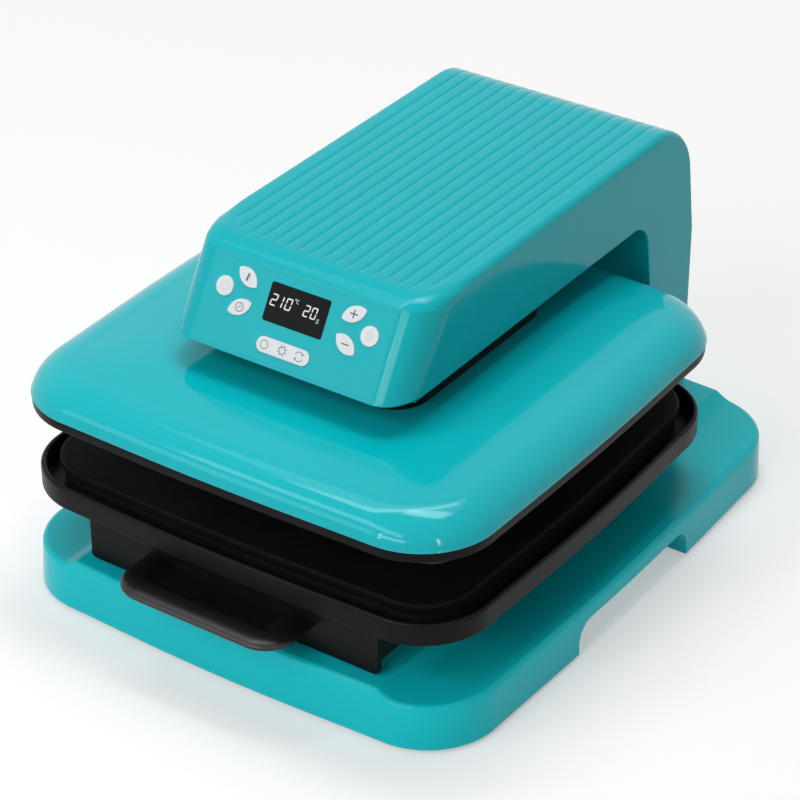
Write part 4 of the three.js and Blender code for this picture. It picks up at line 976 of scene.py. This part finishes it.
bezel = ring_mesh("bezel_ring", press_rings(
    COVER, (2.4, 169.6), (1.5, 169.85), (0.9, 170.4), (0.7, 171.2), (0.7, 177.2), (1.1, 177.9)))
cut(bezel, prism("plate_hole", plate_outline(FIT), 168, 180))
dress(bezel, "platen", black, ("platen_bezel",), sharp=45)

hot = ring_mesh("plate_face", [(plate_outline(grow), z) for grow, z in (
    (-1.6, 161.6), (-0.7, 161.85), (-0.15, 162.5), (0.0, 163.4), (0.0, 171.6))])
dress(hot, "platen", coated, ("heating_plate",), sharp=40)


def neck_outline(grow=0.0):
    return box_outline(-94.5 - grow, 94.5 + grow, -146 - grow, 60 + grow, 30 + grow, 16)


def neck_top(outline):
    """The sleeve's upper edge: level, and sloped to clear the panel's board."""
    slope_y = PANEL_FOOT + 16.5 / math.sin(PANEL_ANGLE)
    return np.minimum(NECK_TOP, ARM_UNDER + (outline[:, 1] - slope_y) / PANEL_RUN)


outside = neck_outline()
inside = neck_outline(-NECK_WALL)
neck = ring_mesh("neck_sleeve", [(outside, NECK_FOOT), (outside, neck_top(outside)),
                                 (inside, neck_top(inside)), (inside, NECK_FOOT)], closed=True)
dress(neck, "platen", black, ("neck_shroud",), sharp=40)
under = plate("undercover_plate", [undercover_outline(), neck_outline(0.6)],
              ARM_UNDER, ARM_UNDER + WALL, bevel=0.4)
dress(under, "frame", black_under, ("arm_undercover",))

# -------------------- drawer
TRAY_FOOT = 92.8
TRAY_FOOT_EDGE = 2.4
RIM_Z = 110.6           # the rolled rim's middle
RIM_RADIUS = 2.5
PAN_EDGE = 1.5          # rounding between the wall and the pan's floor
PAD_IN = 15.4
PAD_FOOT = 110.9
PAD_SHOULDER = 116.6
APRON_Y = PRESS_Y - TRAY["d"] + 12.9
APRON_HALF = 137.4
APRON_THICK = 5.3

tray_rings = [press_ring(TRAY, TRAY_FOOT_EDGE * (1 - math.sin(a)),
                         TRAY_FOOT + TRAY_FOOT_EDGE * (1 - math.cos(a))) for a in sweep(QUARTER, 4)]
tray_rings.append(press_ring(TRAY, 0.0, 108.0))
tray_rings += [press_ring(TRAY, RIM_RADIUS - RIM_RADIUS * math.cos(a), RIM_Z + RIM_RADIUS * math.sin(a))
               for a in sweep(math.pi, 8)]
tray_rings += [press_ring(TRAY, 2 * RIM_RADIUS + PAN_EDGE * (1 - math.cos(a)),
                          98.8 - PAN_EDGE * math.sin(a)) for a in sweep(QUARTER, 4)]
tray = ring_mesh("tray_pan", tray_rings)
dress(tray, "drawer", black, ("tray_body",), sharp=40)

pad_rings = press_rings(TRAY, (16.0, PAD_FOOT), (PAD_IN, 111.6), (PAD_IN, PAD_SHOULDER))
pad_rings += [press_ring(TRAY, PAD_IN + 3.2 * (1 - math.cos(a)), PAD_SHOULDER + 2.9 * math.sin(a))
              for a in sweep(QUARTER, 6, 1)]
pad_rings += press_rings(TRAY, (24, 119.6), (34, 119.66), (60, 119.7))
pad = ring_mesh("pad_cushion", pad_rings)
dress(pad, "drawer", pad_rubber, ("work_pad",), sharp=60)

apron_outline = rounded([(-APRON_HALF, 47.0, 4.5), (APRON_HALF, 47.0, 4.5),
                         (APRON_HALF, 92.5, 0.8), (-APRON_HALF, 92.5, 0.8)])
apron = plate("drawer_apron", [apron_outline], -(APRON_Y + APRON_THICK), -APRON_Y, UPRIGHT, bevel=0.7)
dress(apron, "drawer", black, ("drawer_front",), sharp=50)

HANDLE_HALF = 80.0
HANDLE_RADIUS = 27.0
HANDLE_FRONT = APRON_Y - 0.3 - 51.0
HANDLE_BACK = APRON_Y + 2.5
HANDLE_TOP = 76.0
HANDLE_LOW = 67.6
NOSE = 3.2              # rounding of the lower edge
ROLL_IN = 17.0          # the lip rolls over to the scoop this far in
ROLL_RISE = 5.2
SCOOP_IN = 12.0
SCOOP_DEPTH = 6.4


def handle_ring(inset, z):
    x = HANDLE_HALF - inset
    front = HANDLE_FRONT + inset
    r = max(HANDLE_RADIUS - inset, 3.0)
    return rounded([(-x, front, r), (x, front, r), (x, HANDLE_BACK, 0.0), (-x, HANDLE_BACK, 0.0)], 12), z


handle_rings = [handle_ring(NOSE * (1 - math.sin(a)), HANDLE_LOW + NOSE * (1 - math.cos(a)))
                for a in sweep(QUARTER, 8)]
handle_rings += [handle_ring(ROLL_IN * (1 - math.cos(a)),
                             HANDLE_TOP - ROLL_RISE + ROLL_RISE * math.sin(a))
                 for a in sweep(QUARTER, 12, 1)]
handle_rings += [handle_ring(ROLL_IN + SCOOP_IN * share,
                             HANDLE_TOP - SCOOP_DEPTH * float(smoothstep(0.0, 1.0, share)))
                 for share in sweep(1.0, 20, 1)]
handle = ring_mesh("handle_scoop", handle_rings)
dress(handle, "drawer", black_smooth, ("drawer_handle",), sharp=45)

# -------------------- feet and back
FOOT_IN = 64            # from the base's sides to the middle of a foot
FOOT_PROFILE = ((8.8, -2.5), (9.0, -3.0), (12.6, -3.0), (13.4, -2.7), (13.8, -2.1), (14.0, -0.6),
                (14.0, 0.0))

for end, end_name in ((-1, "front"), (1, "rear")):
    for side, side_name in ((-1, "left"), (1, "right")):
        x = side * (BASE["w"] - FOOT_IN)
        y = end * (BASE["d"] - FOOT_IN)
        foot = ring_mesh(f"foot_pad_{end_name}_{side_name}",
                         [(circle(x, y, r, 64), z) for r, z in FOOT_PROFILE])
        dress(foot, "frame", rubber, (f"foot_{end_name}_{side_name}",), sharp=40)

inlet_hole = box_outline(-43.8, -16.2, 75.9, 96.1, 2.0, 4)
switch_hole = box_outline(21.2, 38.8, 73.2, 98.8, 1.0, 4)
rear = plate("rear_plate", [rear_outline(), inlet_hole, switch_hole],
             -COLUMN_BACK, -(COLUMN_BACK - WALL), UPRIGHT, bevel=0.25)
dress(rear, "frame", teal, ("rear_cover",))

INLET_X = -30.0
INLET_Z = 86.0
for k, (dx, dz) in enumerate(((-7, 2), (0, -2.5), (7, 2))):
    x, z = INLET_X + dx, INLET_Z + dz
    blade = plate(f"inlet_blade_{k + 1}", [box_outline(x - 1.2, x + 1.2, z - 2.2, z + 2.2, 0.5, 3)],
                  -254.6, -246.5, UPRIGHT, bevel=0.25)
    dress(blade, "frame", zinc, sharp=40)

# -------------------- nodes that stay as drawn
# Each row: material, rounding of the edges, nodes
LOOKS = (
    (black_under, 0.6, "base_bottom_plate"),
    (steel, 0.4, "steel_frame", "platen_frame", "lift_carriage"),
    (steel, 0.0, "heating_element"),
    (metal_black, 0.3, "display_module"),
    (metal_black, 0.2, "limit_switch"),
    (circuit, 0.1, "control_board", "power_board"),
    (black, 0.6, "drawer_box"),
    (black, 0.4, "power_inlet", "switch_housing"),
    (black, 0.3, "power_rocker"),
    (motor_metal, 0.5, "drive_motor"),
    (belt_rubber, 0.3, "drive_belt"),
    (brass, 0.3, "screw_bearing", "drive_nut"),
    (brass, 0.2, "bush_left", "bush_right"),
    (zinc, 0.3, "guide_rod_left", "guide_rod_right", "lead_screw"),
    (zinc, 0.2, "rail_fixed_left", "rail_fixed_right", "rail_moving_left", "rail_moving_right",
     "temperature_sensor"),
    (aluminium, 0.2, "screw_pulley", "motor_pulley"),
    (fibre, 0.5, "pad_board"),
    (mica, 0.3, "insulation_board", "thermal_fuse"),
)
for look, width, *names in LOOKS:
    for name in names:
        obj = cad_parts[name]
        obj.data.materials.clear()
        obj.data.materials.append(look)
        if width:
            round_edges(obj, width, 35).harden_normals = True


# -------------------- studio
def seen_directly(nodes, links):
    """1 for camera, glossy and transmission rays, otherwise 0."""
    path = nodes.new("ShaderNodeLightPath").outputs
    camera_or_glossy = maths(nodes, links, "MAXIMUM", path["Is Camera Ray"], path["Is Glossy Ray"])
    return maths(nodes, links, "MAXIMUM", camera_or_glossy, path["Is Transmission Ray"])


def area(name, location, target, size, power):
    """Softbox in metres: size is its width and height."""
    data = bpy.data.lights.new(name, "AREA")
    data.shape = "RECTANGLE"
    data.size, data.size_y = size
    data.energy = power
    lamp = add_object(name, data)
    lamp.location = location
    lamp.rotation_euler = (Vector(target) - Vector(location)).to_track_quat("-Z", "Y").to_euler()


# Near the object the floor is lit and takes its shadow. Farther off it turns to glowing white,
# which only camera, glossy and transmission rays see.
NEAR = 0.45             # metres from the middle of the object
FAR = 1.9
NEAR_COLOUR = (0.66, 0.66, 0.66)
FAR_COLOUR = (0.03, 0.03, 0.03)
NEAR_GLOW = 0.36
FAR_GLOW = 0.98
DIFFUSE_COLOUR = (0.84, 0.84, 0.84)
WORLD_LIGHT = 0.26      # strength for other rays; white is 1
floor_mat, nodes, links, bsdf = new_material("floor_white")
distance = nodes.new("ShaderNodeVectorMath")
distance.operation = "LENGTH"
links.new(nodes.new("ShaderNodeTexCoord").outputs["Object"], distance.inputs[0])
away = remap(nodes, links, distance.outputs["Value"], NEAR, FAR, 0.0, 1.0)
seen = seen_directly(nodes, links)
shown = mix_colour(nodes, links, away, NEAR_COLOUR, FAR_COLOUR)
links.new(mix_colour(nodes, links, seen, DIFFUSE_COLOUR, shown), bsdf.inputs["Base Color"])
shine = remap(nodes, links, away, 0.0, 1.0, NEAR_GLOW, FAR_GLOW)
links.new(maths(nodes, links, "MULTIPLY", seen, shine), bsdf.inputs["Emission Strength"])
bsdf.inputs["Emission Color"].default_value = (1, 1, 1, 1)
bsdf.inputs["Roughness"].default_value = 0.9
bsdf.inputs["Specular IOR Level"].default_value = 0.1
floor_mesh = bpy.data.meshes.new("floor")
floor_mesh.from_pydata([(-9, -9, 0), (9, -9, 0), (9, 9, 0), (-9, 9, 0)], [], [(0, 1, 2, 3)])
floor_mesh.materials.append(floor_mat)
floor = add_object("floor", floor_mesh)

world = bpy.data.worlds.new("studio")
bpy.context.scene.world = world
world.use_nodes = True
nodes = world.node_tree.nodes
links = world.node_tree.links
background = nodes["Background"]
background.inputs["Color"].default_value = (1, 1, 1, 1)
links.new(remap(nodes, links, seen_directly(nodes, links), 0.0, 1.0, WORLD_LIGHT, 1.0),
          background.inputs["Strength"])

# Each lamp: name, place, where it points, width and height, power in watts
area("front_top", (-0.5, -1.95, 2.05), (0, 0, 0.15), (2.2, 0.5), 15)
area("overhead", (-0.45, 0.4, 2.1), (-0.25, 0.2, 0.15), (1.8, 0.7), 6)
area("strip_top", (-0.45, 0.22, 2.05), (-0.25, 0.1, 0.15), (1.8, 0.18), 7)
area("corner_top", (0.08, 0.24, 2.04), (0.1, -0.05, 0.15), (0.8, 0.42), 10)
area("key", (-1.44, -2.4, 1.15), (0, -0.15, 0.25), (1.3, 0.7), 6)
area("front", (0.24, -2.35, 1.25), (0, -0.1, 0.25), (1.1, 0.35), 9)
area("strip_front", (-0.42, -2.5, 1.25), (0, -0.1, 0.25), (0.04, 1.0), 6)
area("strip_right", (1.9, -1.32, 1.30), (0.1, -0.1, 0.25), (0.05, 0.8), 4)

# The camera's angles, lens and place were solved from edges in the photograph
AZIMUTH = math.radians(34.49)
ELEVATION = math.radians(31.97)
right = Vector((math.cos(AZIMUTH), math.sin(AZIMUTH), 0))
back = Vector((math.sin(AZIMUTH) * math.cos(ELEVATION), -math.cos(AZIMUTH) * math.cos(ELEVATION),
               math.sin(ELEVATION)))
up = back.cross(right)
cam_data = bpy.data.cameras.new("camera")
cam_data.lens = 133.53
cam_data.sensor_width = 36
cam_data.clip_end = 50
camera = add_object("camera", cam_data)
turned = Matrix((right, up, back)).transposed().to_4x4()
camera.matrix_world = Matrix.Translation((1.15058, -1.67421, 1.39409)) @ turned
bpy.context.scene.camera = camera
bpy.context.scene.view_settings.view_transform = "Standard"
